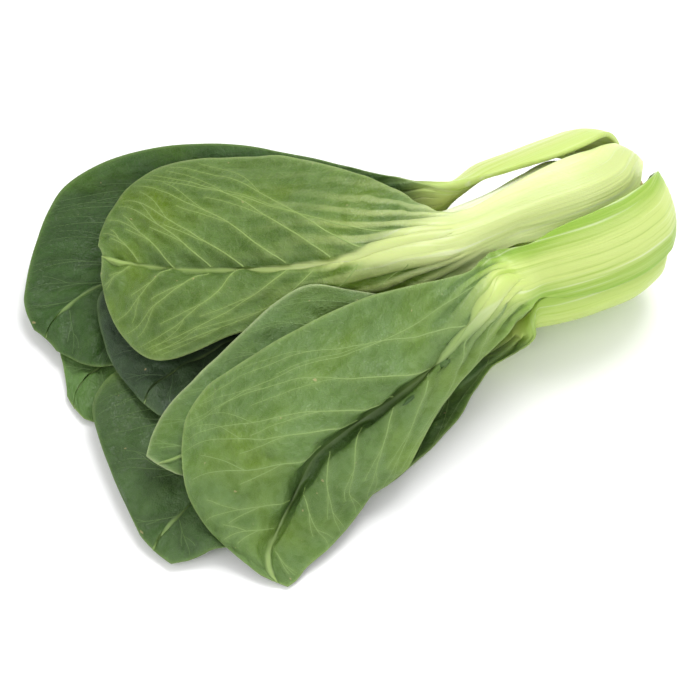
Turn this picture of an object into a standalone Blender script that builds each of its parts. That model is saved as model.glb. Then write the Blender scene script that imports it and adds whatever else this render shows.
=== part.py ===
# A head of green-stemmed bok choy, lying on its side on a flat surface.
# The cut butt is at +X and the leaf tips are towards -X.
# Every leaf grows from the butt as one piece: a thick stalk that wraps the head,
# which narrows at the neck and runs on as the midrib of a thin blade.
# Lengths in the tables are in millimetres and angles in degrees.

import math

import bpy
import numpy as np
from mathutils import Vector
from mathutils.bvhtree import BVHTree

MM = 0.001

# Mesh columns across a leaf, and mesh rows from one control row to the next
COLUMNS = {"outer": 13, "inner": 13, "heart": 9}
ROWS_EACH = 2

# Line through the middle of the head, from the cut face to the neck
AXIS = [(110, -21, 30), (101, -23, 31), (90, -25, 31), (74, -23, 31), (57, -18, 31), (38, -14, 30)]

# Thickness of a blade, thickness at a stalk's edge, room left between leaves
LAMINA = 0.9
STALK_EDGE = 1.7
GAP = 0.6
# Leaves are moved clear of each other in this many steps of this length, and only
# rows that are at least this free to move take part
STEPS, STEP = 30, 0.4
FREE_ENOUGH = 0.3

# Whorls of stalks: distance along the axis, radius from it to the stalk's outer
# face, stalk half width, stalk thickness
WHORLS = {
    "outer": [(0, 13.0, 8.2, 2.4), (3, 20.6, 13.0, 4.4), (8, 27.8, 17.5, 6.4),
              (17, 31.6, 20.0, 7.4), (32, 31.6, 19.8, 7.4), (46, 31.0, 17.4, 6.8),
              (57, 30.0, 13.8, 6.2)],
    "inner": [(8, 12.4, 6.0, 2.2), (13, 16.6, 8.8, 3.6), (21, 20.8, 11.4, 4.6),
              (32, 22.8, 12.6, 4.8), (46, 21.4, 11.0, 4.2)],
    "heart": [(16, 8.6, 3.4, 2.0), (22, 11.2, 5.0, 2.6), (32, 13.2, 6.4, 3.0),
              (46, 13.2, 6.0, 2.8)],
}
# Half width and thickness of the stalk where the blade starts
NECK = {"outer": (9.5, 5.6), "inner": (7.5, 4.0), "heart": (4.0, 2.6)}

# Core of the butt, turned about the head's axis: radius, distance from the cut face
CORE = [(0.0, 0.0), (9.3, 0.0), (10.0, 0.8), (10.0, 6.4), (9.2, 7.2), (8.8, 12.0),
        (6.0, 15.2), (4.6, 19.0), (2.4, 21.0), (0.0, 21.6)]
CORE_STEPS = 40

# Colours (linear) and roughness of the three materials
PAINT = {
    "stalk": ((0.60, 0.72, 0.30), 0.42),
    "blade": ((0.10, 0.24, 0.05), 0.50),
    "cut_core": ((0.70, 0.68, 0.46), 0.65),
}

# Leaves in the order they lie on each other, lowest first.
# outer_up: whether the blade's outer face lies upwards.
# angle: the stalk's place round the axis at its foot and at the bulge, 0 is up and
# 90 towards -Y.
# width: the stalk's width at its foot and at the bulge, against its whorl's.
# radius: how far out its shoulder and the whole of it stand, against its whorl's.
# wrap: how far its two edges curl round the head at the bulge.
# rows: the blade from neck to tip, each row with the midrib, the edge on the +Y side,
# the edge on the -Y side, and how far each half bulges up.
LEAVES = [
    dict(name="leaf_under_back", whorl="outer", outer_up=False, angle=(233, 233),
         width=(0.82, 0.97), radius=(1.0, 1.0), wrap=(30, 30),
         rows=[((40, 0, 9), (38, 7, 14), (41, -8, 6), 0, 0),
               ((20, 11, 4), (12, 25, 6), (24, -4, 4), 0, 0),
               ((-8, 22, 3), (-20, 46, 4), (0, 2, 3), 0, 0),
               ((-36, 36, 3), (-48, 66, 4), (-30, 10, 3), 0, 0),
               ((-60, 44, 3), (-70, 70, 4), (-58, 16, 3), 0, 0),
               ((-80, 45, 3), (-83, 61, 3), (-80, 23, 3), 0, 0),
               ((-89, 42, 2), (-88, 50, 3), (-90, 27, 2), 0, 0),
               ((-93, 37, 2), (-92, 43, 2), (-93, 31, 2), 0, 0)]),
    dict(name="leaf_under_front", whorl="outer", outer_up=False, angle=(122, 115),
         width=(0.6, 0.92), radius=(1.0, 1.0), wrap=(44, 44),
         rows=[((44, -37, 10), (43, -26, 6), (46, -46, 16), 0, 0),
               ((28, -33, 4), (25, -25, 3), (31, -41, 7), 0, 0),
               ((4, -32, 2), (0, -8, 3), (10, -49, 2), 0, 0),
               ((-22, -34, 2), (-26, -6, 3), (-18, -55, 2), 0, 0),
               ((-46, -34, 2), (-52, -8, 3), (-42, -56, 2), 0, 0),
               ((-64, -34, 2), (-68, -18, 2), (-60, -50, 2), 0, 0),
               ((-73, -34, 2), (-72, -27, 2), (-71, -41, 2), 0, 0)]),
    dict(name="leaf_back", whorl="outer", outer_up=False, angle=(313, 311),
         width=(0.95, 1.02), radius=(0.98, 1.05), wrap=(36, 36),
         rows=[((40, 6, 46), (39, 8, 54), (40, 4, 37), 0, 0),
               ((24, 16, 36), (24, 33, 52), (24, 4, 26), 0, 0),
               ((4, 34, 28), (2, 70, 47), (6, 12, 15), -2, -1),
               ((-18, 50, 21), (-22, 98, 36), (-16, 20, 9), -4, -2),
               ((-38, 62, 16), (-47, 109, 25), (-40, 26, 8), -6, -2),
               ((-56, 70, 12), (-66, 101, 14), (-60, 32, 8), -4, -2),
               ((-71, 72, 9), (-80, 88, 8), (-74, 41, 7), -2, -1),
               ((-80, 70, 7), (-84, 81, 7), (-81, 48, 6), 0, 0),
               ((-85, 67, 6), (-86, 73, 6), (-85, 60, 6), 0, 0)]),
    dict(name="leaf_under_middle", whorl="outer", outer_up=False, angle=(172, 172),
         width=(0.64, 0.72), radius=(1.0, 1.0), wrap=(40, 40),
         rows=[((40, -16, 6), (40, -9, 7), (40, -23, 7), 0, 0),
               ((20, -17, 9), (18, -6, 10), (21, -28, 10), 0, 0),
               ((-6, -18, 8), (-10, 12, 11), (-4, -44, 8), 0, 0),
               ((-34, -16, 7), (-42, 26, 10), (-30, -52, 6), 1, 1),
               ((-60, -18, 6), (-70, 36, 8), (-56, -54, 5), 2, 1),
               ((-80, -24, 6), (-90, 29, 8), (-75, -53, 5), 2, 1),
               ((-95, -26, 5), (-100, 3, 6), (-91, -44, 6), 1, 1),
               ((-102, -28, 4), (-104, -12, 5), (-99, -41, 4), 0, 0),
               ((-106, -30, 3), (-106.5, -23, 4), (-104.5, -38, 3), 0, 0)]),
    dict(name="inner_leaf_back", whorl="inner", outer_up=False, angle=(264, 264),
         width=(1.0, 1.0), radius=(1.0, 1.0), wrap=(46, 46),
         rows=[((38, -7, 26), (38, -3, 31), (38, -12, 21), 0, 0),
               ((18, 2, 19), (16, 18, 22), (20, -12, 17), 0, 0),
               ((-8, 12, 16), (-12, 44, 20), (-6, -16, 14), 0, 0),
               ((-34, 18, 14), (-40, 68, 16), (-32, -18, 12), 1, 1),
               ((-52, 20, 13), (-62, 66, 13), (-50, -16, 12), 1, 1),
               ((-66, 20, 13), (-72, 48, 12), (-64, -6, 12), 1, 0),
               ((-74, 18, 13), (-76, 34, 12), (-72, 4, 13), 0, 0),
               ((-77, 16, 13), (-77, 22, 12), (-76, 9, 13), 0, 0)]),
    dict(name="inner_leaf_front", whorl="inner", outer_up=False, angle=(94, 94),
         width=(0.9, 0.85), radius=(1.0, 1.0), wrap=(46, 46),
         rows=[((38, -37, 28), (38, -35, 22), (38, -38, 34), 0, 0),
               ((16, -35, 17), (14, -25, 15), (18, -43, 20), 0, 0),
               ((-10, -34, 12), (-14, -10, 14), (-6, -50, 8), 0, 0),
               ((-36, -34, 10), (-40, -10, 12), (-32, -54, 6), 0, 0),
               ((-56, -34, 9), (-60, -18, 10), (-52, -50, 6), 0, 0),
               ((-68, -36, 8), (-69, -29, 8), (-66, -43, 7), 0, 0)]),
    dict(name="heart_leaf_bottom", whorl="heart", outer_up=False, angle=(176, 176),
         width=(1.0, 1.0), radius=(1.0, 1.0), wrap=(40, 40),
         rows=[((42, -22, 19), (42, -18, 21), (42, -26, 21), 0, 0),
               ((24, -14, 20), (22, -6, 22), (26, -22, 21), 0, 0),
               ((6, -1, 20), (2, 11, 21), (8, -12, 20), 0, 0),
               ((-10, 5, 19), (-12, 15, 19), (-8, -5, 19), 0, 0),
               ((-18, 7, 18), (-19, 11, 18), (-17, 3, 18), 0, 0)]),
    dict(name="heart_leaf_back", whorl="heart", outer_up=True, angle=(300, 300),
         width=(1.0, 1.0), radius=(1.0, 1.0), wrap=(40, 40),
         rows=[((42, -13, 38), (42, -8, 37), (42, -18, 38), 0, 0),
               ((24, -6, 33), (22, 3, 31), (25, -14, 33), 0, 0),
               ((8, 3, 28), (5, 14, 26), (10, -8, 28), 0, 0),
               ((-6, 9, 26), (-8, 17, 24), (-4, 1, 26), 0, 0),
               ((-13, 11, 25), (-14, 15, 24), (-12, 7, 25), 0, 0)]),
    dict(name="heart_leaf_front", whorl="heart", outer_up=True, angle=(60, 60),
         width=(1.0, 1.0), radius=(1.0, 1.0), wrap=(40, 40),
         rows=[((42, -28, 34), (42, -24, 36), (42, -32, 31), 0, 0),
               ((25, -27, 30), (24, -20, 31), (26, -34, 27), 0, 0),
               ((8, -25, 26), (6, -14, 26), (9, -34, 23), 0, 0),
               ((-7, -23, 24), (-9, -13, 24), (-6, -31, 22), 0, 0),
               ((-15, -22, 23), (-16, -18, 23), (-15, -26, 22), 0, 0)]),
    dict(name="inner_leaf_top_back", whorl="inner", outer_up=True, angle=(340, 336),
         width=(0.85, 1.1), radius=(0.8, 1.3), wrap=(46, 46),
         rows=[((38, -2, 48), (38, 5, 45), (39, -11, 50), 0, 0),
               ((18, 8, 41), (16, 19, 39), (20, -5, 42), 0, 0),
               ((-6, 26, 32), (-9, 46, 30), (-4, 5, 31), 2, 0),
               ((-30, 42, 26), (-36, 66, 23), (-28, 18, 24), 2, 0),
               ((-46, 50, 22), (-50, 64, 19), (-46, 34, 20), 1, 0),
               ((-54, 54, 19), (-54, 60, 18), (-54, 46, 18), 0, 0)]),
    dict(name="leaf_top", whorl="outer", outer_up=True, angle=(3, 17),
         width=(0.24, 0.76), radius=(0.87, 1.0), wrap=(26, 34),
         rows=[((27, -20, 58), (33, -9, 57), (30, -32, 49), 0, 0),
               ((12, -13, 56), (26, 6, 60), (13, -27, 45), 1, 2),
               ((-3, -4, 52), (18, 24, 61), (-2, -15, 40), 2, 3),
               ((-18, 11, 46), (8, 50, 53), (-22, -3, 36), 3, 3),
               ((-32, 28, 40), (-9, 73, 44), (-45, 9, 32), 3, 4),
               ((-44, 45, 34), (-26, 86, 36), (-66, 20, 24), 3, 4),
               ((-51, 59, 29), (-40, 87, 28), (-69, 40, 20), 2, 2),
               ((-55, 67, 27), (-50, 82, 25), (-65, 56, 21), 1, 1),
               ((-56, 71, 26), (-54, 77, 25), (-60, 66, 23), 0, 0)]),
    dict(name="inner_leaf_top_front", whorl="inner", outer_up=True, angle=(36, 36),
         width=(0.74, 0.8), radius=(1.0, 1.0), wrap=(46, 46),
         rows=[((40, -38, 42), (40, -33, 45), (40, -43, 38), 0, 0),
               ((18, -37, 41), (18, -32, 43), (19, -44, 36), 0, 0),
               ((2, -31, 40), (2, -22, 42), (4, -46, 34), 0, 0),
               ((-14, -24, 38), (-18, -1, 40), (-12, -48, 30), 0, 0),
               ((-36, -22, 33), (-40, 4, 35), (-33, -50, 26), 0, 0),
               ((-58, -20, 28), (-62, 4, 28), (-54, -48, 21), 0, 0),
               ((-76, -18, 24), (-78, 2, 23), (-70, -40, 18), 0, 0),
               ((-85, -16, 22), (-87, -3, 21), (-80, -30, 19), 0, 0),
               ((-91, -13, 20), (-92, -8, 20), (-88, -20, 19.5), 0, 0)]),
    dict(name="leaf_front", whorl="outer", outer_up=True, angle=(58, 60),
         width=(0.60, 0.75), radius=(0.97, 1.0), wrap=(20, 20),
         rows=[((39, -41, 46), (40, -29, 50), (41, -48, 37), 0, 0),
               ((23, -44, 44), (25, -33, 51), (30, -50, 36), 0, 0),
               ((7, -46, 38), (8, -28, 54), (14, -52, 31), 3, 2),
               ((-10, -48, 29), (-8, -19, 51), (-6, -55, 24), 9, 3),
               ((-33, -47, 18), (-32, -12, 45), (-25, -62, 14), 14, 5),
               ((-52, -48, 11), (-55, -7, 35), (-37, -60, 9), 15, 6),
               ((-67, -51, 7), (-75, -8, 22), (-51, -64, 6), 12, 5),
               ((-75, -54, 5), (-87, -22, 12), (-62, -66, 4), 7, 3),
               ((-80, -59, 4), (-90, -38, 7), (-71, -67, 3), 3, 1),
               ((-81, -62, 3), (-87, -50, 5), (-75, -68, 2), 1, 0),
               ((-81, -65, 2), (-84, -60, 3), (-79, -68, 2), 0, 0)]),
]

# The stalks are pressed together in this order
OUTERMOST_FIRST = ["leaf_under_middle", "leaf_front", "leaf_under_back", "leaf_under_front",
                   "leaf_top", "leaf_back", "inner_leaf_back", "inner_leaf_front",
                   "inner_leaf_top_back", "inner_leaf_top_front",
                   "heart_leaf_bottom", "heart_leaf_back", "heart_leaf_front"]


def smoothstep(low, high, value):
    share = np.clip((value - low) / (high - low), 0.0, 1.0)
    return share * share * (3.0 - 2.0 * share)


def unit(vectors):
    return vectors / np.linalg.norm(vectors, axis=-1, keepdims=True)


def through(knots, values, at):
    """A smooth curve through rows of numbers."""
    knots, values, at = (np.asarray(x, float) for x in (knots, values, at))
    slopes = np.gradient(values, knots, axis=0)
    cell = np.clip(np.searchsorted(knots, at, side="right") - 1, 0, len(knots) - 2)
    span = (knots[cell + 1] - knots[cell])[:, None]
    part = (at - knots[cell])[:, None] / span
    start, end = values[cell], values[cell + 1]
    return (start * (1 + 2 * part) * (1 - part) ** 2
            + end * part * part * (3 - 2 * part)
            + slopes[cell] * span * part * (1 - part) ** 2
            - slopes[cell + 1] * span * part * part * (1 - part))


AXIS_LENGTH = sum(math.dist(a, b) for a, b in zip(AXIS, AXIS[1:]))


def axis_at(distance):
    points = np.array(AXIS, float)
    knots = np.concatenate([[0.0], np.cumsum(np.linalg.norm(np.diff(points, axis=0), axis=1))])
    here, ahead = through(knots, points, [distance, distance + 0.5])
    return here, unit(ahead - here)


def leaf_rows(leaf):
    """Control rows of a leaf from its base to its tip: midrib, right edge and left edge
    as seen from outside looking to the tip, the bulge of each half towards the outside,
    stalk half width and thickness."""
    rows = []
    whorl = WHORLS[leaf["whorl"]]
    shoulder, full = leaf["radius"]
    for along, radius, half, thick in whorl:
        # at the base the stalk follows the butt's round, further out it keeps its own wrap
        ease = min((along - whorl[0][0]) / 20.0, 1.0)
        half *= (1 - ease) * leaf["width"][0] + ease * leaf["width"][1]
        phi = math.radians((1 - ease) * leaf["angle"][0] + ease * leaf["angle"][1])
        radius *= full * (1 - (1 - shoulder) * math.sin(math.pi * min(along / 24, 1.0)))
        middle, tangent = axis_at(along)
        level = unit(np.cross(tangent, (0, 0, 1)))
        upright = np.cross(level, tangent)
        outward = -math.sin(phi) * level + math.cos(phi) * upright
        side = np.cross(tangent, outward)
        crest = middle + radius * outward
        edges = []
        for turn, wrap in zip((1, -1), leaf["wrap"]):
            bend = (1 - ease) * half / radius + ease * math.radians(wrap)
            bow = half / bend
            edges.append(crest + turn * side * bow * math.sin(bend)
                         - outward * bow * (1 - math.cos(bend)))
        rows.append((*crest, *edges[0], *edges[1], 0, 0, half, thick))
    neck_half, neck_thick = NECK[leaf["whorl"]]
    last = len(leaf["rows"]) - 1
    for index, (midrib, back, front, back_bulge, front_bulge) in enumerate(leaf["rows"]):
        share = 1 - index / last
        half = neck_half * share ** 1.6 + 1.0
        thick = (neck_thick - LAMINA) * share ** 1.2 + LAMINA
        if leaf["outer_up"]:
            rows.append((*midrib, *back, *front, back_bulge, front_bulge, half, thick))
        else:
            rows.append((*midrib, *front, *back, -front_bulge, -back_bulge, half, thick))
    return np.array(rows, float), len(whorl)


def leaf_sheet(leaf):
    """The leaf's surface as a grid of points, with the thickness that stands outside
    and inside that surface at each of them, how much of each row is blade and how free
    it is to move, and the middle of the head beside it."""
    control, neck = leaf_rows(leaf)
    knots = np.concatenate(
        [[0.0], np.cumsum(np.linalg.norm(np.diff(control[:, :3], axis=0), axis=1))])
    rows = ROWS_EACH * (len(knots) - 1) + 1
    columns = COLUMNS[leaf["whorl"]]
    along = np.interp(np.linspace(0, len(knots) - 1, rows), range(len(knots)), knots)
    found = through(knots, control, along)
    midrib = found[:, :3]
    tangent = unit(np.gradient(midrib, axis=0))
    right, left = found[:, 3:6] - midrib, found[:, 6:9] - midrib
    right_size = np.linalg.norm(right, axis=1)[:, None]
    left_size = np.linalg.norm(left, axis=1)[:, None]
    level = unit(right / right_size - left / left_size)
    outward = unit(np.cross(level, tangent))
    grown = smoothstep(knots[neck] - 14, knots[neck] + 16, along)
    loose = smoothstep(knots[neck] - 6, knots[neck] + 28, along)

    edge = np.linspace(-1.0, 1.0, columns)
    edge = np.sign(edge) * np.abs(edge) ** 1.2
    sheet = np.zeros((rows, columns, 3))
    out = np.zeros((rows, columns))
    into = np.zeros((rows, columns))
    for j, v in enumerate(edge):
        reach, size, sign = (right, right_size, 1) if v > 0 else (left, left_size, -1)
        bulge = found[:, 9:10] if v > 0 else found[:, 10:11]
        start = level * size * sign
        w = abs(v)
        sheet[:, j] = (midrib + start * w + (reach - start) * w * w
                       + outward * bulge * math.sin(math.pi * w ** 0.65))
        from_midrib = np.linalg.norm(sheet[:, j] - midrib, axis=1)
        crown = np.clip(1 - (from_midrib / found[:, 11]) ** 2, 0, 1) ** 1.3
        thin = STALK_EDGE + (LAMINA - STALK_EDGE) * grown
        thick = thin + (found[:, 12] - thin) * crown
        out[:, j] = grown * (thin / 2 + 0.7 * (thick - thin))
        into[:, j] = thick - out[:, j]
    held = smoothstep(0, 14, along)
    reach = np.minimum(along + WHORLS[leaf["whorl"]][0][0], AXIS_LENGTH - 1)
    middle = np.array([axis_at(distance)[0] for distance in reach])
    return dict(sheet=sheet, out=out, into=into, grown=grown, loose=loose, middle=middle,
                pressed=held * (1 - loose),
                faces=leaf_faces(rows, columns))


def blurred(grid):
    """Each value of a grid mixed with its neighbours'."""
    padded = np.pad(grid, ((1, 1), (1, 1)) + ((0, 0),) * (grid.ndim - 2), mode="edge")
    rows, columns = grid.shape[:2]
    return np.mean([padded[i:i + rows, j:j + columns] for i in range(3) for j in range(3)], axis=0)


def normals_of(sheet):
    along = np.gradient(sheet, axis=0)
    across = np.gradient(sheet, axis=1)
    return unit(blurred(blurred(unit(np.cross(across, along)))))


def grid_triangles(rows, columns):
    """Triangles of one face of a leaf, mirrored about its midrib."""
    made = []
    for i in range(rows - 1):
        for j in range(columns - 1):
            a = i * columns + j
            b, c, d = a + columns, a + columns + 1, a + 1
            if j < columns // 2:
                made += [(a, c, b), (a, d, c)]
            else:
                made += [(a, d, b), (b, d, c)]
    return made


def leaf_faces(rows, columns):
    """Faces of the closed solid: outer face, inner face and the rim between them."""
    count = rows * columns
    faces = grid_triangles(rows, columns)
    faces += [(a + count, c + count, b + count) for a, b, c in faces]
    rim = [j for j in range(columns)]
    rim += [i * columns + columns - 1 for i in range(1, rows)]
    rim += [(rows - 1) * columns + j for j in range(columns - 2, -1, -1)]
    rim += [i * columns for i in range(rows - 2, 0, -1)]
    for a, b in zip(rim, rim[1:] + rim[:1]):
        faces += [(b, a, b + count), (a, a + count, b + count)]
    return faces


def leaf_points(sheet, out, into, grown):
    """Outer and inner points of a leaf, kept on or above the surface it lies on."""
    normal = normals_of(sheet)
    outer = sheet + normal * out[:, :, None]
    inner = sheet - normal * into[:, :, None]
    lowest = np.minimum(outer[:, :, 2], inner[:, :, 2])
    raised = np.maximum(-lowest, 0.0) * (grown > 0.5)[:, None]
    outer[:, :, 2] += raised
    inner[:, :, 2] += raised
    outer[:, :, 2] = np.maximum(outer[:, :, 2], 0.0)
    return outer, inner


def spread(shift):
    """Shift taken over to the neighbours, so that a moved leaf stays smooth."""
    rows, columns = shift.shape
    padded = np.pad(shift, 1, mode="edge")
    widest = np.max([padded[i:i + rows, j:j + columns] for i in range(3) for j in range(3)], axis=0)
    return np.maximum(blurred(blurred(widest)), shift)


def tree_of(leaf, sheet, gap):
    """Search tree of the leaf's solid, each face and edge of it standing off by a gap."""
    wider = sheet.copy()
    wider[:, 0] += gap * unit(sheet[:, 0] - sheet[:, 1])
    wider[:, -1] += gap * unit(sheet[:, -1] - sheet[:, -2])
    outer, inner = leaf_points(wider, leaf["out"] + gap, leaf["into"] + gap, leaf["grown"])
    points = np.concatenate([outer.reshape(-1, 3), inner.reshape(-1, 3)])
    return BVHTree.FromPolygons([Vector(p) for p in points], leaf["faces"]), outer, inner


def move_clear(leaf, others, way, free):
    """Move a leaf's points step by step along their own ways, where they are free to,
    until the leaf is clear of the others."""
    sheet = leaf["sheet"]
    rows, columns = sheet.shape[:2]
    wanted = np.zeros((rows, columns))
    moved = sheet
    for _ in range(STEPS):
        touched = set()
        tree, _, _ = tree_of(leaf, moved, GAP)
        for other in others:
            for face, _ in tree.overlap(other):
                touched.update(vertex % (rows * columns) for vertex in leaf["faces"][face])
        if not touched:
            break
        for vertex in touched:
            i, j = divmod(vertex, columns)
            if free[i, 0] > FREE_ENOUGH:
                wanted[i, j] += STEP
        moved = sheet + way * (spread(wanted) * free)[:, :, None]
    leaf["sheet"] = moved


def draw_in(leaves):
    """Press each stalk in towards the middle of the head until the stalks outside it
    have room."""
    placed = []
    for leaf in leaves:
        inwards = -unit(leaf["sheet"] - leaf["middle"][:, None, :])
        move_clear(leaf, placed, inwards, leaf["pressed"][:, None])
        placed.append(tree_of(leaf, leaf["sheet"], 0.0)[0])


def lay_down(leaves):
    """Raise each blade until it lies clear on top of the leaves below it."""
    placed = []
    for leaf in leaves:
        sheet, free = leaf["sheet"], leaf["loose"][:, None]
        _, outer, inner = tree_of(leaf, sheet, GAP)
        lift = np.zeros(sheet.shape[:2])
        for i, j in np.ndindex(lift.shape):
            low = min(outer[i, j], inner[i, j], key=lambda point: point[2])
            for tree in placed:
                top = tree.ray_cast(Vector((low[0], low[1], 300.0)), Vector((0, 0, -1)))[0]
                if top is not None:
                    lift[i, j] = max(lift[i, j], top.z - low[2])
        leaf["sheet"] = sheet + np.array((0, 0, 1)) * (spread(lift) * free)[:, :, None]
        move_clear(leaf, placed, np.array((0.0, 0.0, 1.0)), free)
        placed.append(tree_of(leaf, leaf["sheet"], 0.0)[0])


def make_materials():
    made = {}
    for name, (colour, roughness) in PAINT.items():
        made[name] = bpy.data.materials.new(name)
        made[name].use_nodes = True
        shader = made[name].node_tree.nodes["Principled BSDF"]
        shader.inputs["Base Color"].default_value = (*colour, 1.0)
        shader.inputs["Roughness"].default_value = roughness
        shader.inputs["IOR"].default_value = 1.4
    return made


def make_leaf(leaf, shift, paint):
    """The leaf as an object whose origin is the foot of its stalk."""
    outer, inner = leaf_points(leaf["sheet"], leaf["out"], leaf["into"], leaf["grown"])
    rows, columns = leaf["out"].shape
    points = np.concatenate([outer.reshape(-1, 3), inner.reshape(-1, 3)]) + shift
    foot = points[columns // 2]
    mesh = bpy.data.meshes.new(leaf["name"])
    mesh.from_pydata([Vector(p) * MM for p in points - foot], [], leaf["faces"])
    mesh.materials.append(paint["stalk"])
    mesh.materials.append(paint["blade"])
    for polygon in mesh.polygons:
        row = min(vertex % (rows * columns) // columns for vertex in polygon.vertices)
        polygon.material_index = int(leaf["grown"][row] > 0.5)
    mesh.shade_smooth()
    made = bpy.data.objects.new(leaf["name"], mesh)
    made.location = Vector(foot) * MM
    return made


def make_core(shift, paint):
    """The short stem in the middle of the butt, with its cut face."""
    mesh = bpy.data.meshes.new("butt_core")
    mesh.from_pydata([(radius * MM, 0.0, -depth * MM) for radius, depth in CORE],
                     [(i, i + 1) for i in range(len(CORE) - 1)], [])
    mesh.materials.append(paint["cut_core"])
    made = bpy.data.objects.new("butt_core", mesh)
    turned = made.modifiers.new("turned", "SCREW")
    turned.steps = CORE_STEPS
    turned.render_steps = CORE_STEPS
    turned.use_merge_vertices = True
    turned.merge_threshold = 0.0001
    turned.use_smooth_shade = True
    foot, tangent = axis_at(0.0)
    made.location = Vector(foot + shift) * MM
    made.rotation_euler = (-Vector(tangent)).to_track_quat("Z", "X").to_euler()
    return made


def clear_scene():
    for thing in list(bpy.data.objects):
        bpy.data.objects.remove(thing)


def main():
    clear_scene()
    head = bpy.data.collections.new("bok_choy")
    bpy.context.scene.collection.children.link(head)
    paint = make_materials()
    leaves = {leaf["name"]: {**leaf, **leaf_sheet(leaf)} for leaf in LEAVES}
    draw_in([leaves[name] for name in OUTERMOST_FIRST])
    lay_down(list(leaves.values()))
    corners = np.concatenate([leaf["sheet"].reshape(-1, 3) for leaf in leaves.values()])
    middle = (corners.min(axis=0) + corners.max(axis=0)) / 2
    shift = np.array((-middle[0], -middle[1], 0.0))
    for leaf in leaves.values():
        head.objects.link(make_leaf(leaf, shift, paint))
    head.objects.link(make_core(shift, paint))


main()
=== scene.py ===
# A head of green-stemmed bok choy lying on its side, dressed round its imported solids.
# Every leaf is laid out again from the measures of its solid, drawn on a finer grid,
# and given its veins, its quilted blade, its waved margin and its fibrous stalk.
# Lengths in the tables are in millimetres and angles in degrees.

import math
from functools import partial

import bpy
import numpy as np
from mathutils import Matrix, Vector
from mathutils.bvhtree import BVHTree
from mathutils.kdtree import KDTree


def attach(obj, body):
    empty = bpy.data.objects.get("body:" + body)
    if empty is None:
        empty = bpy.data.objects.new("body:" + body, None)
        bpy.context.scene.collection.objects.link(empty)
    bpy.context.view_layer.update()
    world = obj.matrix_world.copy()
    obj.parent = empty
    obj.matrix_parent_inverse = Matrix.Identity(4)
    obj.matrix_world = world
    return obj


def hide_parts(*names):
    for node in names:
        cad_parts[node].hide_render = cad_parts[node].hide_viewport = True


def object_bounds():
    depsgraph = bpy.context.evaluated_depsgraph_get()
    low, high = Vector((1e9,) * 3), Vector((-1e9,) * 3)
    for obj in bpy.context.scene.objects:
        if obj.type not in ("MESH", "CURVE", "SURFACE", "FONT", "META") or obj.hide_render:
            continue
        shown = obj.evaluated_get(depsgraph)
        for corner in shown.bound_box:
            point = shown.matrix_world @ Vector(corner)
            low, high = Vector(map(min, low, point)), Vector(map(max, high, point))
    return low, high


mm = 0.001

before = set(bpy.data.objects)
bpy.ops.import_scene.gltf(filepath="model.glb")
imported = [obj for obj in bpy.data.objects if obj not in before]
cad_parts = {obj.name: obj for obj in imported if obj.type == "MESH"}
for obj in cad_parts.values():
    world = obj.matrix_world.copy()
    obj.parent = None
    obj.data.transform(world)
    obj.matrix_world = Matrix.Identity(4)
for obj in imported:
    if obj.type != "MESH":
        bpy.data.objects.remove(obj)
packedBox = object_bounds()
print("frame loaded:", len(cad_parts), "solids")

# How the head was laid out for its solids, the same numbers as in their source
head = {
    "axis": [(110, -21, 30), (101, -23, 31), (90, -25, 31), (74, -23, 31), (57, -18, 31),
             (38, -14, 30)],
    "lamina": 0.9,
    "stalkEdge": 1.7,
    "gap": 0.6,
    "columns": {"outer": 13, "inner": 13, "heart": 9},
    "rowsEach": 2,
    "pushes": 30,
    "push": 0.4,
    "freeEnough": 0.3,
    # how far out a stalk takes its own place and wrap, and how far its shoulder reaches
    "ease": 20.0,
    "shoulder": 24,
    # midrib beyond the neck: how fast it narrows, its least half width, how fast it thins
    "taper": (1.6, 1.0, 1.2),
    # where the blade grows and where it is free to move, both from the neck
    "grown": (-14, 16),
    "loose": (-6, 28),
    "held": (0, 14),
    # how columns crowd to the midrib, where a half bulges most, how the midrib is rounded
    # and how much of it is on the outer face
    "crowded": 1.2,
    "bulged": 0.65,
    "crown": 1.3,
    "outerShare": 0.7,
    # distance along the axis, radius to the stalk's outer face, half width, thickness
    "whorls": {
        "outer": [(0, 13.0, 8.2, 2.4), (3, 20.6, 13.0, 4.4), (8, 27.8, 17.5, 6.4),
                  (17, 31.6, 20.0, 7.4), (32, 31.6, 19.8, 7.4), (46, 31.0, 17.4, 6.8),
                  (57, 30.0, 13.8, 6.2)],
        "inner": [(8, 12.4, 6.0, 2.2), (13, 16.6, 8.8, 3.6), (21, 20.8, 11.4, 4.6),
                  (32, 22.8, 12.6, 4.8), (46, 21.4, 11.0, 4.2)],
        "heart": [(16, 8.6, 3.4, 2.0), (22, 11.2, 5.0, 2.6), (32, 13.2, 6.4, 3.0),
                  (46, 13.2, 6.0, 2.8)],
    },
    "neck": {"outer": (9.5, 5.6), "inner": (7.5, 4.0), "heart": (4.0, 2.6)},
}

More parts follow.
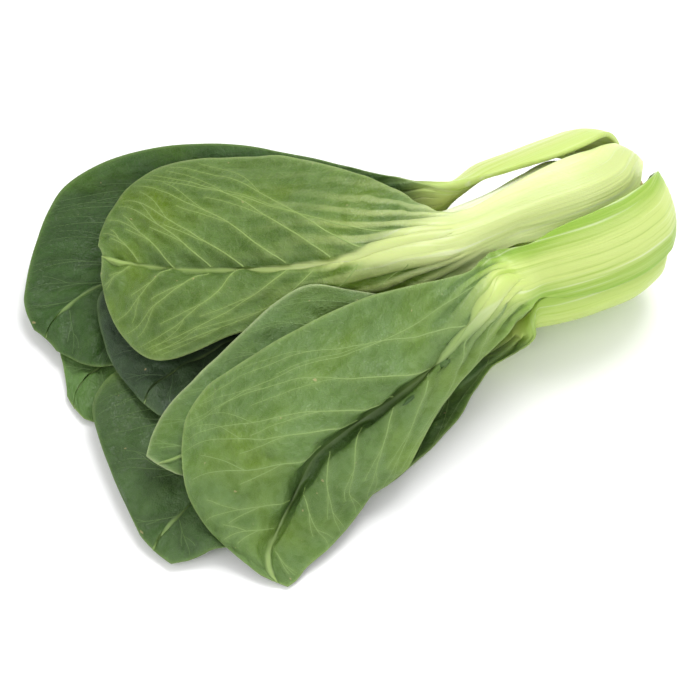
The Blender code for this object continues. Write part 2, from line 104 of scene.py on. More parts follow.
# Leaves from the lowest up. outerUp: its outer face lies upwards. angle: the stalk's
# place round the axis at the foot and at the bulge. width, radius: the same two places
# against the whorl's. wrap: how far each edge curls round. rows: midrib, edge on the
# +Y side, edge on the -Y side, and how far each half bulges, where it does. Some leaves
# have their own paling, fading and fanReach in place of those in leafLook and fanLook.
leaves = [
    dict(name="leaf_under_back", whorl="outer", outerUp=False, angle=(233, 233),
         width=(0.82, 0.97), radius=(1.0, 1.0), wrap=(30, 30),
         rows=[
            ((40, 0, 9), (38, 7, 14), (41, -8, 6)),
            ((20, 11, 4), (12, 25, 6), (24, -4, 4)),
            ((-8, 22, 3), (-20, 46, 4), (0, 2, 3)),
            ((-36, 36, 3), (-48, 66, 4), (-30, 10, 3)),
            ((-60, 44, 3), (-70, 70, 4), (-58, 16, 3)),
            ((-80, 45, 3), (-83, 61, 3), (-80, 23, 3)),
            ((-89, 42, 2), (-88, 50, 3), (-90, 27, 2)),
            ((-93, 37, 2), (-92, 43, 2), (-93, 31, 2))]),
    dict(name="leaf_under_front", whorl="outer", outerUp=False, angle=(122, 115),
         width=(0.6, 0.92), radius=(1.0, 1.0), wrap=(44, 44),
         rows=[
            ((44, -37, 10), (43, -26, 6), (46, -46, 16)),
            ((28, -33, 4), (25, -25, 3), (31, -41, 7)),
            ((4, -32, 2), (0, -8, 3), (10, -49, 2)),
            ((-22, -34, 2), (-26, -6, 3), (-18, -55, 2)),
            ((-46, -34, 2), (-52, -8, 3), (-42, -56, 2)),
            ((-64, -34, 2), (-68, -18, 2), (-60, -50, 2)),
            ((-73, -34, 2), (-72, -27, 2), (-71, -41, 2))]),
    dict(name="leaf_back", whorl="outer", outerUp=False, angle=(313, 311),
         width=(0.95, 1.02), radius=(0.98, 1.05), wrap=(36, 36),
         rows=[
            ((40, 6, 46), (39, 8, 54), (40, 4, 37)),
            ((24, 16, 36), (24, 33, 52), (24, 4, 26)),
            ((4, 34, 28), (2, 70, 47), (6, 12, 15), -2, -1),
            ((-18, 50, 21), (-22, 98, 36), (-16, 20, 9), -4, -2),
            ((-38, 62, 16), (-47, 109, 25), (-40, 26, 8), -6, -2),
            ((-56, 70, 12), (-66, 101, 14), (-60, 32, 8), -4, -2),
            ((-71, 72, 9), (-80, 88, 8), (-74, 41, 7), -2, -1),
            ((-80, 70, 7), (-84, 81, 7), (-81, 48, 6)),
            ((-85, 67, 6), (-86, 73, 6), (-85, 60, 6))]),
    dict(name="leaf_under_middle", whorl="outer", outerUp=False, angle=(172, 172),
         width=(0.64, 0.72), radius=(1.0, 1.0), wrap=(40, 40),
         rows=[
            ((40, -16, 6), (40, -9, 7), (40, -23, 7)),
            ((20, -17, 9), (18, -6, 10), (21, -28, 10)),
            ((-6, -18, 8), (-10, 12, 11), (-4, -44, 8)),
            ((-34, -16, 7), (-42, 26, 10), (-30, -52, 6), 1, 1),
            ((-60, -18, 6), (-70, 36, 8), (-56, -54, 5), 2, 1),
            ((-80, -24, 6), (-90, 29, 8), (-75, -53, 5), 2, 1),
            ((-95, -26, 5), (-100, 3, 6), (-91, -44, 6), 1, 1),
            ((-102, -28, 4), (-104, -12, 5), (-99, -41, 4)),
            ((-106, -30, 3), (-106.5, -23, 4), (-104.5, -38, 3))]),
    dict(name="inner_leaf_back", whorl="inner", outerUp=False, angle=(264, 264),
         width=(1.0, 1.0), radius=(1.0, 1.0), wrap=(46, 46),
         rows=[
            ((38, -7, 26), (38, -3, 31), (38, -12, 21)),
            ((18, 2, 19), (16, 18, 22), (20, -12, 17)),
            ((-8, 12, 16), (-12, 44, 20), (-6, -16, 14)),
            ((-34, 18, 14), (-40, 68, 16), (-32, -18, 12), 1, 1),
            ((-52, 20, 13), (-62, 66, 13), (-50, -16, 12), 1, 1),
            ((-66, 20, 13), (-72, 48, 12), (-64, -6, 12), 1, 0),
            ((-74, 18, 13), (-76, 34, 12), (-72, 4, 13)),
            ((-77, 16, 13), (-77, 22, 12), (-76, 9, 13))]),
    dict(name="inner_leaf_front", whorl="inner", outerUp=False, angle=(94, 94),
         width=(0.9, 0.85), radius=(1.0, 1.0), wrap=(46, 46),
         rows=[
            ((38, -37, 28), (38, -35, 22), (38, -38, 34)),
            ((16, -35, 17), (14, -25, 15), (18, -43, 20)),
            ((-10, -34, 12), (-14, -10, 14), (-6, -50, 8)),
            ((-36, -34, 10), (-40, -10, 12), (-32, -54, 6)),
            ((-56, -34, 9), (-60, -18, 10), (-52, -50, 6)),
            ((-68, -36, 8), (-69, -29, 8), (-66, -43, 7))]),
    dict(name="heart_leaf_bottom", whorl="heart", outerUp=False, angle=(176, 176),
         width=(1.0, 1.0), radius=(1.0, 1.0), wrap=(40, 40),
         rows=[
            ((42, -22, 19), (42, -18, 21), (42, -26, 21)),
            ((24, -14, 20), (22, -6, 22), (26, -22, 21)),
            ((6, -1, 20), (2, 11, 21), (8, -12, 20)),
            ((-10, 5, 19), (-12, 15, 19), (-8, -5, 19)),
            ((-18, 7, 18), (-19, 11, 18), (-17, 3, 18))]),
    dict(name="heart_leaf_back", whorl="heart", outerUp=True, angle=(300, 300),
         width=(1.0, 1.0), radius=(1.0, 1.0), wrap=(40, 40),
         rows=[
            ((42, -13, 38), (42, -8, 37), (42, -18, 38)),
            ((24, -6, 33), (22, 3, 31), (25, -14, 33)),
            ((8, 3, 28), (5, 14, 26), (10, -8, 28)),
            ((-6, 9, 26), (-8, 17, 24), (-4, 1, 26)),
            ((-13, 11, 25), (-14, 15, 24), (-12, 7, 25))]),
    dict(name="heart_leaf_front", whorl="heart", outerUp=True, angle=(60, 60),
         width=(1.0, 1.0), radius=(1.0, 1.0), wrap=(40, 40),
         rows=[
            ((42, -28, 34), (42, -24, 36), (42, -32, 31)),
            ((25, -27, 30), (24, -20, 31), (26, -34, 27)),
            ((8, -25, 26), (6, -14, 26), (9, -34, 23)),
            ((-7, -23, 24), (-9, -13, 24), (-6, -31, 22)),
            ((-15, -22, 23), (-16, -18, 23), (-15, -26, 22))]),
    dict(name="inner_leaf_top_back", whorl="inner", outerUp=True, angle=(340, 336),
         width=(0.85, 1.1), radius=(0.8, 1.3), wrap=(46, 46),
         rows=[
            ((38, -2, 48), (38, 5, 45), (39, -11, 50)),
            ((18, 8, 41), (16, 19, 39), (20, -5, 42)),
            ((-6, 26, 32), (-9, 46, 30), (-4, 5, 31), 2, 0),
            ((-30, 42, 26), (-36, 66, 23), (-28, 18, 24), 2, 0),
            ((-46, 50, 22), (-50, 64, 19), (-46, 34, 20), 1, 0),
            ((-54, 54, 19), (-54, 60, 18), (-54, 46, 18))]),
    dict(name="leaf_top", whorl="outer", paling=4.2, fading=(30, 90), fanReach=44.0,
         outerUp=True, angle=(3, 17),
         width=(0.24, 0.76), radius=(0.87, 1.0), wrap=(26, 34),
         rows=[
            ((27, -20, 58), (33, -9, 57), (30, -32, 49)),
            ((12, -13, 56), (26, 6, 60), (13, -27, 45), 1, 2),
            ((-3, -4, 52), (18, 24, 61), (-2, -15, 40), 2, 3),
            ((-18, 11, 46), (8, 50, 53), (-22, -3, 36), 3, 3),
            ((-32, 28, 40), (-9, 73, 44), (-45, 9, 32), 3, 4),
            ((-44, 45, 34), (-26, 86, 36), (-66, 20, 24), 3, 4),
            ((-51, 59, 29), (-40, 87, 28), (-69, 40, 20), 2, 2),
            ((-55, 67, 27), (-50, 82, 25), (-65, 56, 21), 1, 1),
            ((-56, 71, 26), (-54, 77, 25), (-60, 66, 23))]),
    dict(name="inner_leaf_top_front", whorl="inner", outerUp=True, angle=(36, 36),
         width=(0.74, 0.8), radius=(1.0, 1.0), wrap=(46, 46),
         rows=[
            ((40, -38, 42), (40, -33, 45), (40, -43, 38)),
            ((18, -37, 41), (18, -32, 43), (19, -44, 36)),
            ((2, -31, 40), (2, -22, 42), (4, -46, 34)),
            ((-14, -24, 38), (-18, -1, 40), (-12, -48, 30)),
            ((-36, -22, 33), (-40, 4, 35), (-33, -50, 26)),
            ((-58, -20, 28), (-62, 4, 28), (-54, -48, 21)),
            ((-76, -18, 24), (-78, 2, 23), (-70, -40, 18)),
            ((-85, -16, 22), (-87, -3, 21), (-80, -30, 19)),
            ((-91, -13, 20), (-92, -8, 20), (-88, -20, 19.5))]),
    dict(name="leaf_front", whorl="outer", paling=11.0, fading=(8, 34), outerUp=True,
         angle=(58, 60), width=(0.60, 0.75), radius=(0.97, 1.0), wrap=(20, 20),
         rows=[
            ((39, -41, 46), (40, -29, 50), (41, -48, 37)),
            ((23, -44, 44), (25, -33, 51), (30, -50, 36)),
            ((7, -46, 38), (8, -28, 54), (14, -52, 31), 3, 2),
            ((-10, -48, 29), (-8, -19, 51), (-6, -55, 24), 9, 3),
            ((-33, -47, 18), (-32, -12, 45), (-25, -62, 14), 14, 5),
            ((-52, -48, 11), (-55, -7, 35), (-37, -60, 9), 15, 6),
            ((-67, -51, 7), (-75, -8, 22), (-51, -64, 6), 12, 5),
            ((-75, -54, 5), (-87, -22, 12), (-62, -66, 4), 7, 3),
            ((-80, -59, 4), (-90, -38, 7), (-71, -67, 3), 3, 1),
            ((-81, -62, 3), (-87, -50, 5), (-75, -68, 2), 1, 0),
            ((-81, -65, 2), (-84, -60, 3), (-79, -68, 2))]),
]

# The stalks are pressed together in this order
outermostFirst = ["leaf_under_middle", "leaf_front", "leaf_under_back", "leaf_under_front",
                   "leaf_top", "leaf_back", "inner_leaf_back", "inner_leaf_front",
                   "inner_leaf_top_back", "inner_leaf_top_front",
                   "heart_leaf_bottom", "heart_leaf_back", "heart_leaf_front"]

# What the finer leaves are drawn with. Lengths are in mm. fading, foldStart and sinking
# are counted from the neck, foldEnd from the tip and the margins from the leaf's edge.
leafLook = {
    "finer": {"leaf_top": 8, "leaf_front": 8, "leaf_back": 7, "leaf_under_middle": 6},
    "finerElse": 5,
    # how fast the pale midrib narrows, its share of the neck and its least half width
    "paling": 5.0,
    "paleShare": 0.9,
    "paleLeast": 0.5,
    # where the midrib takes the veins' tone, on the outer and on the inner face
    "fading": (25, 70),
    "fadingInside": (-6, 12),
    # tissue between the veins stands up towards the inner face: height, reach from a
    # vein, distance from the margin where it is full, length and share of its unevenness
    "quilt": {"height": 1.15, "reach": 3.4, "margin": 5, "uneven": (2.6, 0.35)},
    # puckers and broad swells of the blade: height, length, seed
    "swells": [(0.5, 4.6, 80), (1.0, 17.0, 90)],
    "swellMargin": 6,
    # waves of the margin: height, length, width of the waved band
    "ripple": (0.7, 17.0 / 2.2, 9.0),
    # ruffles of the margin beside the neck: height, length, across, band, reach
    "ruffle": (1.3, 4.2, 14.0, 7.0, 20.0),
    # a leaf folded along its midrib: depth and half width
    "fold": {"leaf_front": (2.2, 4.6), "leaf_top": (0.6, 5.0)},
    "foldStart": (32, 66),
    "foldEnd": (5, 40),
    # the midrib sinks into the blade on its way out: by how much of its height, and where
    "sinking": (0.8, 10, 60),
    # the margin thins: by how much and over what distance
    "marginThin": (0.45, 1.6),
    # ribs along the outer face of the stalk: height, count over its half width, length,
    # how far they take to rise from the foot, and their level that moves no surface
    "stalkRibs": (0.16, 11, 70, 12, 0.6),
    # green starts and is full at these multiples of the pale midrib's half width
    "greenEdge": (0.5, 1.5),
    # width of the paler rim along the margin: partly the paler underside at a curled edge, partly
    # painted highlight where the edge catches the light
    "rim": 0.7,
    # the foot's width at its very end against the full one, and how far that reaches
    "footRound": (0.62, 5.0),
}

# Pale ribs that leave the neck and fan out into the blade, drawn as streaks and ridges.
# Where they start and rise is counted in mm from the neck.
fanLook = {
    "reach": 30.0,
    "start": (-20, 2),
    # where the ribs would meet, before the neck, and how fast they spread
    "origin": 16,
    "spread": 30,
    "spacing": 2.3,
    "wide": 10.0,
    # how far a rib strays from its ray, over what distance across and along
    "sway": (0.6, 3.1, 24),
    "edge": (0.30, 0.85),
    "pale": 0.75,
    "rise": 0.7,
    "riseStart": (-4, 6),
    "seed": 9,
}

# Side veins: how many on each side, their girth in mm, how they lean
veinLook = {
    "side": {"outer": 7, "inner": 6, "heart": 3},
    "basal": {"outer": 1, "inner": 1, "heart": 0},
    # basal veins: start beyond the neck, spacing, lean, girth against the others', offset
    "basalPlace": (8, 5),
    "basalLean": (2.6, 1.9),
    "basalGirth": 0.8,
    "basalAway": 2.5,
    # where side veins leave the midrib, as shares of the blade's length, and how evenly
    "from": 0.14,
    "over": 0.80,
    "uneven": 0.22,
    # millimetres along for each one across: at the base, less towards the tip, at random
    "lean": (1.28, 0.55, 0.10),
    "leanMore": (0.25, 0.12),
    # branches: place on the vein, change of lean; least lean, length against the vein's
    "branches": [(0.38, 0.8), (0.62, -0.5)],
    "branchUneven": 0.06,
    "branchLeast": 0.1,
    "branchLength": 0.3,
    "girth": 0.40,
    "girthLoss": 0.5,
    "branchGirth": 0.20,
    "tipGirth": 0.07,
    "sides": 7,
    "sink": {"outer": 0.45, "inner": -0.1},
    "scale": {"outer": 1.0, "inner": 0.8},
    "step": 1.4,
    # how far a vein wanders, over what distance, and how it turns up along the margin
    "wander": (0.4, 8),
    "turnUp": (1.3, 0.6),
    "end": 0.965,
    "fewest": 3,
    # a vein is drawn from where the tissue is green by more than this
    "green": 0.6,
    # paint beside a vein: its reach, more for each mm of girth, its least strength, and
    # how far from the margin it is full. Then the reach of the painted shade in the groove round
    # it.
    "paint": (0.45, 1.3, 0.25, 3),
    "groove": 2.0,
    "seed": 11,
}


def smoothStep(low, high, value):
    share = np.clip((value - low) / (high - low), 0.0, 1.0)
    return share * share * (3.0 - 2.0 * share)


def unit(vectors):
    return vectors / np.linalg.norm(vectors, axis=-1, keepdims=True)


# A smooth curve through rows of numbers
def through(knots, values, at):
    knots, values, at = (np.asarray(x, float) for x in (knots, values, at))
    slopes = np.gradient(values, knots, axis=0)
    cell = np.clip(np.searchsorted(knots, at, side="right") - 1, 0, len(knots) - 2)
    span = (knots[cell + 1] - knots[cell])[:, None]
    part = (at - knots[cell])[:, None] / span
    start, end = values[cell], values[cell + 1]
    return (start * (1 + 2 * part) * (1 - part) ** 2
            + end * part * part * (3 - 2 * part)
            + slopes[cell] * span * part * (1 - part) ** 2
            - slopes[cell + 1] * span * part * part * (1 - part))


axisLength = sum(math.dist(a, b) for a, b in zip(head["axis"], head["axis"][1:]))


def axisAt(distance):
    points = np.array(head["axis"], float)
    knots = np.concatenate([[0.0], np.cumsum(np.linalg.norm(np.diff(points, axis=0), axis=1))])
    here, ahead = through(knots, points, [distance, distance + 0.5])
    return here, unit(ahead - here)


def leafRows(leaf):
    rows = []
    whorl = head["whorls"][leaf["whorl"]]
    shoulder, full = leaf["radius"]
    for along, radius, half, thick in whorl:
        # at the base the stalk follows the butt's round, further out it keeps its own wrap
        ease = min((along - whorl[0][0]) / head["ease"], 1.0)
        half *= (1 - ease) * leaf["width"][0] + ease * leaf["width"][1]
        phi = math.radians((1 - ease) * leaf["angle"][0] + ease * leaf["angle"][1])
        rounded = math.sin(math.pi * min(along / head["shoulder"], 1.0))
        radius *= full * (1 - (1 - shoulder) * rounded)
        middle, tangent = axisAt(along)
        level = unit(np.cross(tangent, (0, 0, 1)))
        upright = np.cross(level, tangent)
        outward = -math.sin(phi) * level + math.cos(phi) * upright
        side = np.cross(tangent, outward)
        crest = middle + radius * outward
        edges = []
        for turn, wrap in zip((1, -1), leaf["wrap"]):
            bend = (1 - ease) * half / radius + ease * math.radians(wrap)
            bow = half / bend
            edges.append(crest + turn * side * bow * math.sin(bend)
                         - outward * bow * (1 - math.cos(bend)))
        rows.append((*crest, *edges[0], *edges[1], 0, 0, half, thick))
    neckHalf, neckThick = head["neck"][leaf["whorl"]]
    last = len(leaf["rows"]) - 1
    narrowing, least, thinning = head["taper"]
    for index, (midrib, back, front, *bulges) in enumerate(leaf["rows"]):
        backBulge, frontBulge = bulges or (0, 0)
        share = 1 - index / last
        half = neckHalf * share ** narrowing + least
        thick = (neckThick - head["lamina"]) * share ** thinning + head["lamina"]
        if leaf["outerUp"]:
            rows.append((*midrib, *back, *front, backBulge, frontBulge, half, thick))
        else:
            rows.append((*midrib, *front, *back, -frontBulge, -backBulge, half, thick))
    return np.array(rows, float), len(whorl)


def leafSheet(leaf):
    control, neck = leafRows(leaf)
    knots = np.concatenate(
        [[0.0], np.cumsum(np.linalg.norm(np.diff(control[:, :3], axis=0), axis=1))])
    rows = head["rowsEach"] * (len(knots) - 1) + 1
    columns = head["columns"][leaf["whorl"]]
    along = np.interp(np.linspace(0, len(knots) - 1, rows), range(len(knots)), knots)
    found = through(knots, control, along)
    midrib = found[:, :3]
    tangent = unit(np.gradient(midrib, axis=0))
    right, left = found[:, 3:6] - midrib, found[:, 6:9] - midrib
    rightSize = np.linalg.norm(right, axis=1)[:, None]
    leftSize = np.linalg.norm(left, axis=1)[:, None]
    level = unit(right / rightSize - left / leftSize)
    outward = unit(np.cross(level, tangent))
    grown, loose = (smoothStep(knots[neck] + head[word][0], knots[neck] + head[word][1], along)
                    for word in ("grown", "loose"))

    edge = np.linspace(-1.0, 1.0, columns)
    edge = np.sign(edge) * np.abs(edge) ** head["crowded"]
    sheet = np.zeros((rows, columns, 3))
    out = np.zeros((rows, columns))
    into = np.zeros((rows, columns))
    for j, v in enumerate(edge):
        reach, size, sign = (right, rightSize, 1) if v > 0 else (left, leftSize, -1)
        bulge = found[:, 9:10] if v > 0 else found[:, 10:11]
        start = level * size * sign
        w = abs(v)
        sheet[:, j] = (midrib + start * w + (reach - start) * w * w
                       + outward * bulge * math.sin(math.pi * w ** head["bulged"]))
        fromMidrib = np.linalg.norm(sheet[:, j] - midrib, axis=1)
        crown = np.clip(1 - (fromMidrib / found[:, 11]) ** 2, 0, 1) ** head["crown"]
        thin = head["stalkEdge"] + (head["lamina"] - head["stalkEdge"]) * grown
        thick = thin + (found[:, 12] - thin) * crown
        out[:, j] = grown * (thin / 2 + head["outerShare"] * (thick - thin))
        into[:, j] = thick - out[:, j]
    # the pale midrib narrows faster than the thick one
    neckHalf = head["neck"][leaf["whorl"]][0]
    share = np.clip(1 - (along - knots[neck]) / (knots[-1] - knots[neck]), 0, 1)
    paling = leaf.get("paling", leafLook["paling"])
    paleHalf = neckHalf * leafLook["paleShare"] * share ** paling + leafLook["paleLeast"]
    held = smoothStep(*head["held"], along)
    reach = np.minimum(along + head["whorls"][leaf["whorl"]][0][0], axisLength - 1)
    middle = np.array([axisAt(distance)[0] for distance in reach])
    return dict(sheet=sheet, out=out, into=into, grown=grown, loose=loose, middle=middle,
                pressed=held * (1 - loose), ribHalf=found[:, 11], paleHalf=paleHalf,
                neck=knots[neck], faces=leafFaces(rows, columns))


def blurred(grid):
    padded = np.pad(grid, ((1, 1), (1, 1)) + ((0, 0),) * (grid.ndim - 2), mode="edge")
    rows, columns = grid.shape[:2]
    return np.mean([padded[i:i + rows, j:j + columns] for i in range(3) for j in range(3)], axis=0)


def normalsOf(sheet, blurs=2):
    found = unit(np.cross(np.gradient(sheet, axis=1), np.gradient(sheet, axis=0)))
    for _ in range(blurs):
        found = blurred(found)
    return unit(found)


def gridTriangles(rows, columns):
    made = []
    for i in range(rows - 1):
        for j in range(columns - 1):
            a = i * columns + j
            b, c, d = a + columns, a + columns + 1, a + 1
            if j < columns // 2:
                made += [(a, c, b), (a, d, c)]
            else:
                made += [(a, d, b), (b, d, c)]
    return made


def rimOf(rows, columns):
    rim = [j for j in range(columns)]
    rim += [i * columns + columns - 1 for i in range(1, rows)]
    rim += [(rows - 1) * columns + j for j in range(columns - 2, -1, -1)]
    rim += [i * columns for i in range(rows - 2, 0, -1)]
    return rim


def leafFaces(rows, columns):
    count = rows * columns
    faces = gridTriangles(rows, columns)
    faces += [(a + count, c + count, b + count) for a, b, c in faces]
    rim = rimOf(rows, columns)
    for a, b in zip(rim, rim[1:] + rim[:1]):
        faces += [(b, a, b + count), (a, a + count, b + count)]
    return faces


def leafPoints(sheet, out, into, grown, blurs=2):
    normal = normalsOf(sheet, blurs)
    outer = sheet + normal * out[:, :, None]
    inner = sheet - normal * into[:, :, None]
    lowest = np.minimum(outer[:, :, 2], inner[:, :, 2])
    raised = np.maximum(-lowest, 0.0) * (grown > 0.5)[:, None]
    outer[:, :, 2] += raised
    inner[:, :, 2] += raised
    outer[:, :, 2] = np.maximum(outer[:, :, 2], 0.0)
    return outer, inner


def spreadOut(shift):
    rows, columns = shift.shape
    padded = np.pad(shift, 1, mode="edge")
    near = [padded[i:i + rows, j:j + columns] for i in range(3) for j in range(3)]
    widest = np.max(near, axis=0)
    return np.maximum(blurred(blurred(widest)), shift)


def treeOf(leaf, sheet, gap):
    wider = sheet.copy()
    wider[:, 0] += gap * unit(sheet[:, 0] - sheet[:, 1])
    wider[:, -1] += gap * unit(sheet[:, -1] - sheet[:, -2])
    outer, inner = leafPoints(wider, leaf["out"] + gap, leaf["into"] + gap, leaf["grown"])
    points = np.concatenate([outer.reshape(-1, 3), inner.reshape(-1, 3)])
    return BVHTree.FromPolygons([Vector(p) for p in points], leaf["faces"]), outer, inner


def moveClear(leaf, others, way, free):
    sheet = leaf["sheet"]
    rows, columns = sheet.shape[:2]
    wanted = np.zeros((rows, columns))
    moved = sheet
    for _ in range(head["pushes"]):
        touched = set()
        tree, _, _ = treeOf(leaf, moved, head["gap"])
        for other in others:
            for face, _ in tree.overlap(other):
                touched.update(vertex % (rows * columns) for vertex in leaf["faces"][face])
        if not touched:
            break
        for vertex in touched:
            i, j = divmod(vertex, columns)
            if free[i, 0] > head["freeEnough"]:
                wanted[i, j] += head["push"]
        moved = sheet + way * (spreadOut(wanted) * free)[:, :, None]
    leaf["sheet"] = moved


def drawIn(some):
    placed = []
    for leaf in some:
        inwards = -unit(leaf["sheet"] - leaf["middle"][:, None, :])
        moveClear(leaf, placed, inwards, leaf["pressed"][:, None])
        placed.append(treeOf(leaf, leaf["sheet"], 0.0)[0])


def layDown(some):
    placed = []
    for leaf in some:
        sheet, free = leaf["sheet"], leaf["loose"][:, None]
        _, outer, inner = treeOf(leaf, sheet, head["gap"])
        lift = np.zeros(sheet.shape[:2])
        for i, j in np.ndindex(lift.shape):
            low = min(outer[i, j], inner[i, j], key=lambda point: point[2])
            for tree in placed:
                top = tree.ray_cast(Vector((low[0], low[1], 300.0)), Vector((0, 0, -1)))[0]
                if top is not None:
                    lift[i, j] = max(lift[i, j], top.z - low[2])
        leaf["sheet"] = sheet + np.array((0, 0, 1)) * (spreadOut(lift) * free)[:, :, None]
        moveClear(leaf, placed, np.array((0.0, 0.0, 1.0)), free)
        placed.append(treeOf(leaf, leaf["sheet"], 0.0)[0])


# The same grid with more rows and columns, smooth through the old ones
def finer(grid, times):
    for _ in range(2):
        count = grid.shape[0]
        rest = grid.shape[1:]
        wide = grid.reshape(count, -1)
        at = np.linspace(0, count - 1, (count - 1) * times + 1)
        grid = through(np.arange(count), wide, at).reshape(len(at), *rest)
        grid = np.swapaxes(grid, 0, 1)
    return grid


# Smooth noise between -1 and 1 over a plane, in lattice cells of one unit
def noiseAt(x, y, seed):
    def corner(i, j):
        value = np.sin(i * 127.1 + j * 311.7 + seed * 74.7) * 43758.5453
        return (value - np.floor(value)) * 2 - 1
    i, j = np.floor(x), np.floor(y)
    a, b = x - i, y - j
    a, b = a * a * (3 - 2 * a), b * b * (3 - 2 * b)
    return ((corner(i, j) * (1 - a) + corner(i + 1, j) * a) * (1 - b)
            + (corner(i, j + 1) * (1 - a) + corner(i + 1, j + 1) * a) * b)


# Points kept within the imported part's own box
def insideBox(points):
    return np.clip(points, np.array(packedBox[0]), np.array(packedBox[1]))


# A mesh object in the scene, with the values that its points carry
def newObject(name, points, edges, faces, values):
    mesh = bpy.data.meshes.new(name)
    mesh.from_pydata(points, edges, faces)
    mesh.shade_smooth()
    for word, value in values.items():
        layer = mesh.attributes.new(word, "FLOAT", "POINT")
        layer.data.foreach_set("value", np.asarray(value, np.float32))
    made = bpy.data.objects.new(name, mesh)
    bpy.context.scene.collection.objects.link(made)
    return made


# The leaf's chart: how far each grid point is along the midrib and across from it
def chartOf(sheet):
    columns = sheet.shape[1]
    middle = columns // 2
    along = np.concatenate(
        [[0.0], np.cumsum(np.linalg.norm(np.diff(sheet[:, middle], axis=0), axis=1))])
    across = np.concatenate([np.zeros((len(sheet), 1)), np.cumsum(
        np.linalg.norm(np.diff(sheet, axis=1), axis=2), axis=1)], axis=1)
    return along, across - across[:, middle:middle + 1]


# One vein in the chart, from the midrib towards the margin. lean is how far it runs
# along for each millimetre across, at its start and at its end. most limits its points.
def veinPath(along, across, side, start, lean, girth, away=0.3, most=999):
    path = []
    a, w = start, away
    wander, over = veinLook["wander"]
    turnUp, turnFrom = veinLook["turnUp"]
    while a < along[-1] - 1 and len(path) < most:
        row = int(np.searchsorted(along, a))
        reach = across[row, -1] if side > 0 else -across[row, 0]
        share = w / max(reach, 0.1)
        if share > veinLook["end"]:
            break
        slope = lean[0] + (lean[1] - lean[0]) * share
        slope += turnUp * float(smoothStep(turnFrom, 1.0, share))
        slope += wander * float(noiseAt(np.array(a / over), np.array(w / over), side + 3))
        path.append((a, side * w, girth * (1 - share) + veinLook["tipGirth"] * share))
        sideways = veinLook["step"] / math.hypot(1, slope)
        a += slope * sideways
        w += sideways
    return path


def veinPaths(leaf, along, across, random):
    paths = []
    start = leaf["neck"]
    length = along[-1] - start
    base, loss, chance = veinLook["lean"]
    more, moreChance = veinLook["leanMore"]
    for side in (-1, 1):
        for k in range(veinLook["basal"][leaf["whorl"]]):
            begin = start + veinLook["basalPlace"][0] + veinLook["basalPlace"][1] * k
            paths.append(veinPath(along, across, side, begin, veinLook["basalLean"],
                                  veinLook["girth"] * veinLook["basalGirth"],
                                  veinLook["basalAway"]))
        count = veinLook["side"][leaf["whorl"]]
        for k in range(count):
            share = (k + 0.5 + random.uniform(-veinLook["uneven"], veinLook["uneven"])) / count
            begin = start + length * (veinLook["from"] + veinLook["over"] * share)
            first = base - loss * share + random.uniform(-chance, chance)
            lean = (first, first + more + random.uniform(-moreChance, moreChance))
            girth = veinLook["girth"] * (1 - veinLook["girthLoss"] * share)
            path = veinPath(along, across, side, begin, lean, girth)
            paths.append(path)
            if len(path) <= 2 * veinLook["fewest"]:
                continue
            for place, change in veinLook["branches"]:
                place += random.uniform(-veinLook["branchUneven"], veinLook["branchUneven"])
                at = path[int(len(path) * place)]
                turned = max(first + change, veinLook["branchLeast"])
                paths.append(veinPath(along, across, side, at[0], (turned, turned + 0.1),
                                      veinLook["branchGirth"], abs(at[1]),
                                      int(len(path) * veinLook["branchLength"]) + 2))
    return [path for path in paths if len(path) > veinLook["fewest"]]


# The veins' parts that lie on green tissue, without those on the pale midrib
def onBlade(paths, blade, along, across):
    kept = []
    for path in paths:
        rows = np.clip(np.searchsorted(along, [a for a, _, _ in path]), 0, len(along) - 1)
        green = [blade[row, np.argmin(np.abs(across[row] - w))] > veinLook["green"]
                 for row, (_, w, _) in zip(rows, path)]
        first = green.index(True) if True in green else len(path)
        if len(path) - first > veinLook["fewest"]:
            kept.append(path[first:])
    return kept


# Distance in the chart from each grid point to the nearest vein, and that vein's girth
def veinReach(paths, along, across):
    points = [point for path in paths for point in path]
    between = [((a[0] + b[0]) / 2, (a[1] + b[1]) / 2, (a[2] + b[2]) / 2)
               for path in paths for a, b in zip(path, path[1:])]
    points += between
    tree = KDTree(len(points))
    for index, (a, w, _) in enumerate(points):
        tree.insert((a, w, 0.0), index)
    tree.balance()
    distance = np.zeros(across.shape)
    girth = np.zeros(across.shape)
    for i, j in np.ndindex(across.shape):
        _, index, distance[i, j] = tree.find((along[i], across[i, j], 0.0))
        girth[i, j] = points[index][2]
    return distance, girth


# The ribs that fan out of the neck, 1 on a rib and 0 beside it
def fanOf(leaf, across, beyond, order):
    ray = across / (1 + np.maximum(beyond + fanLook["origin"], 0) / fanLook["spread"])
    reach = leaf.get("fanReach", fanLook["reach"])
    fan = smoothStep(*fanLook["start"], beyond) * np.exp(-(np.maximum(beyond, 0) / reach) ** 2)
    fan = fan * np.exp(-(ray / fanLook["wide"]) ** 2)
    sway, overAcross, overAlong = fanLook["sway"]
    turn = ray / fanLook["spacing"] + sway * noiseAt(ray / overAcross, beyond / overAlong,
                                                     order + fanLook["seed"])
    return smoothStep(*fanLook["edge"], 0.5 + 0.5 * np.cos(2 * math.pi * turn)) * fan


# How far tissue is pushed towards the inner face between the veins
def quiltOf(order, along, across, distance, blade, fromEdge):
    look = leafLook["quilt"]
    length, share = look["uneven"]
    uneven = 1 + share * noiseAt(along[:, None] / length, across / length, order)
    raised = 1 - np.exp(-(distance / look["reach"]) ** 2)
    quilt = look["height"] * raised * uneven * blade * smoothStep(0, look["margin"], fromEdge)
    for height, length, seed in leafLook["swells"]:
        quilt = quilt + height * blade * smoothStep(0, leafLook["swellMargin"], fromEdge) \
            * noiseAt(along[:, None] / length, across / length, order + seed)
    return quilt


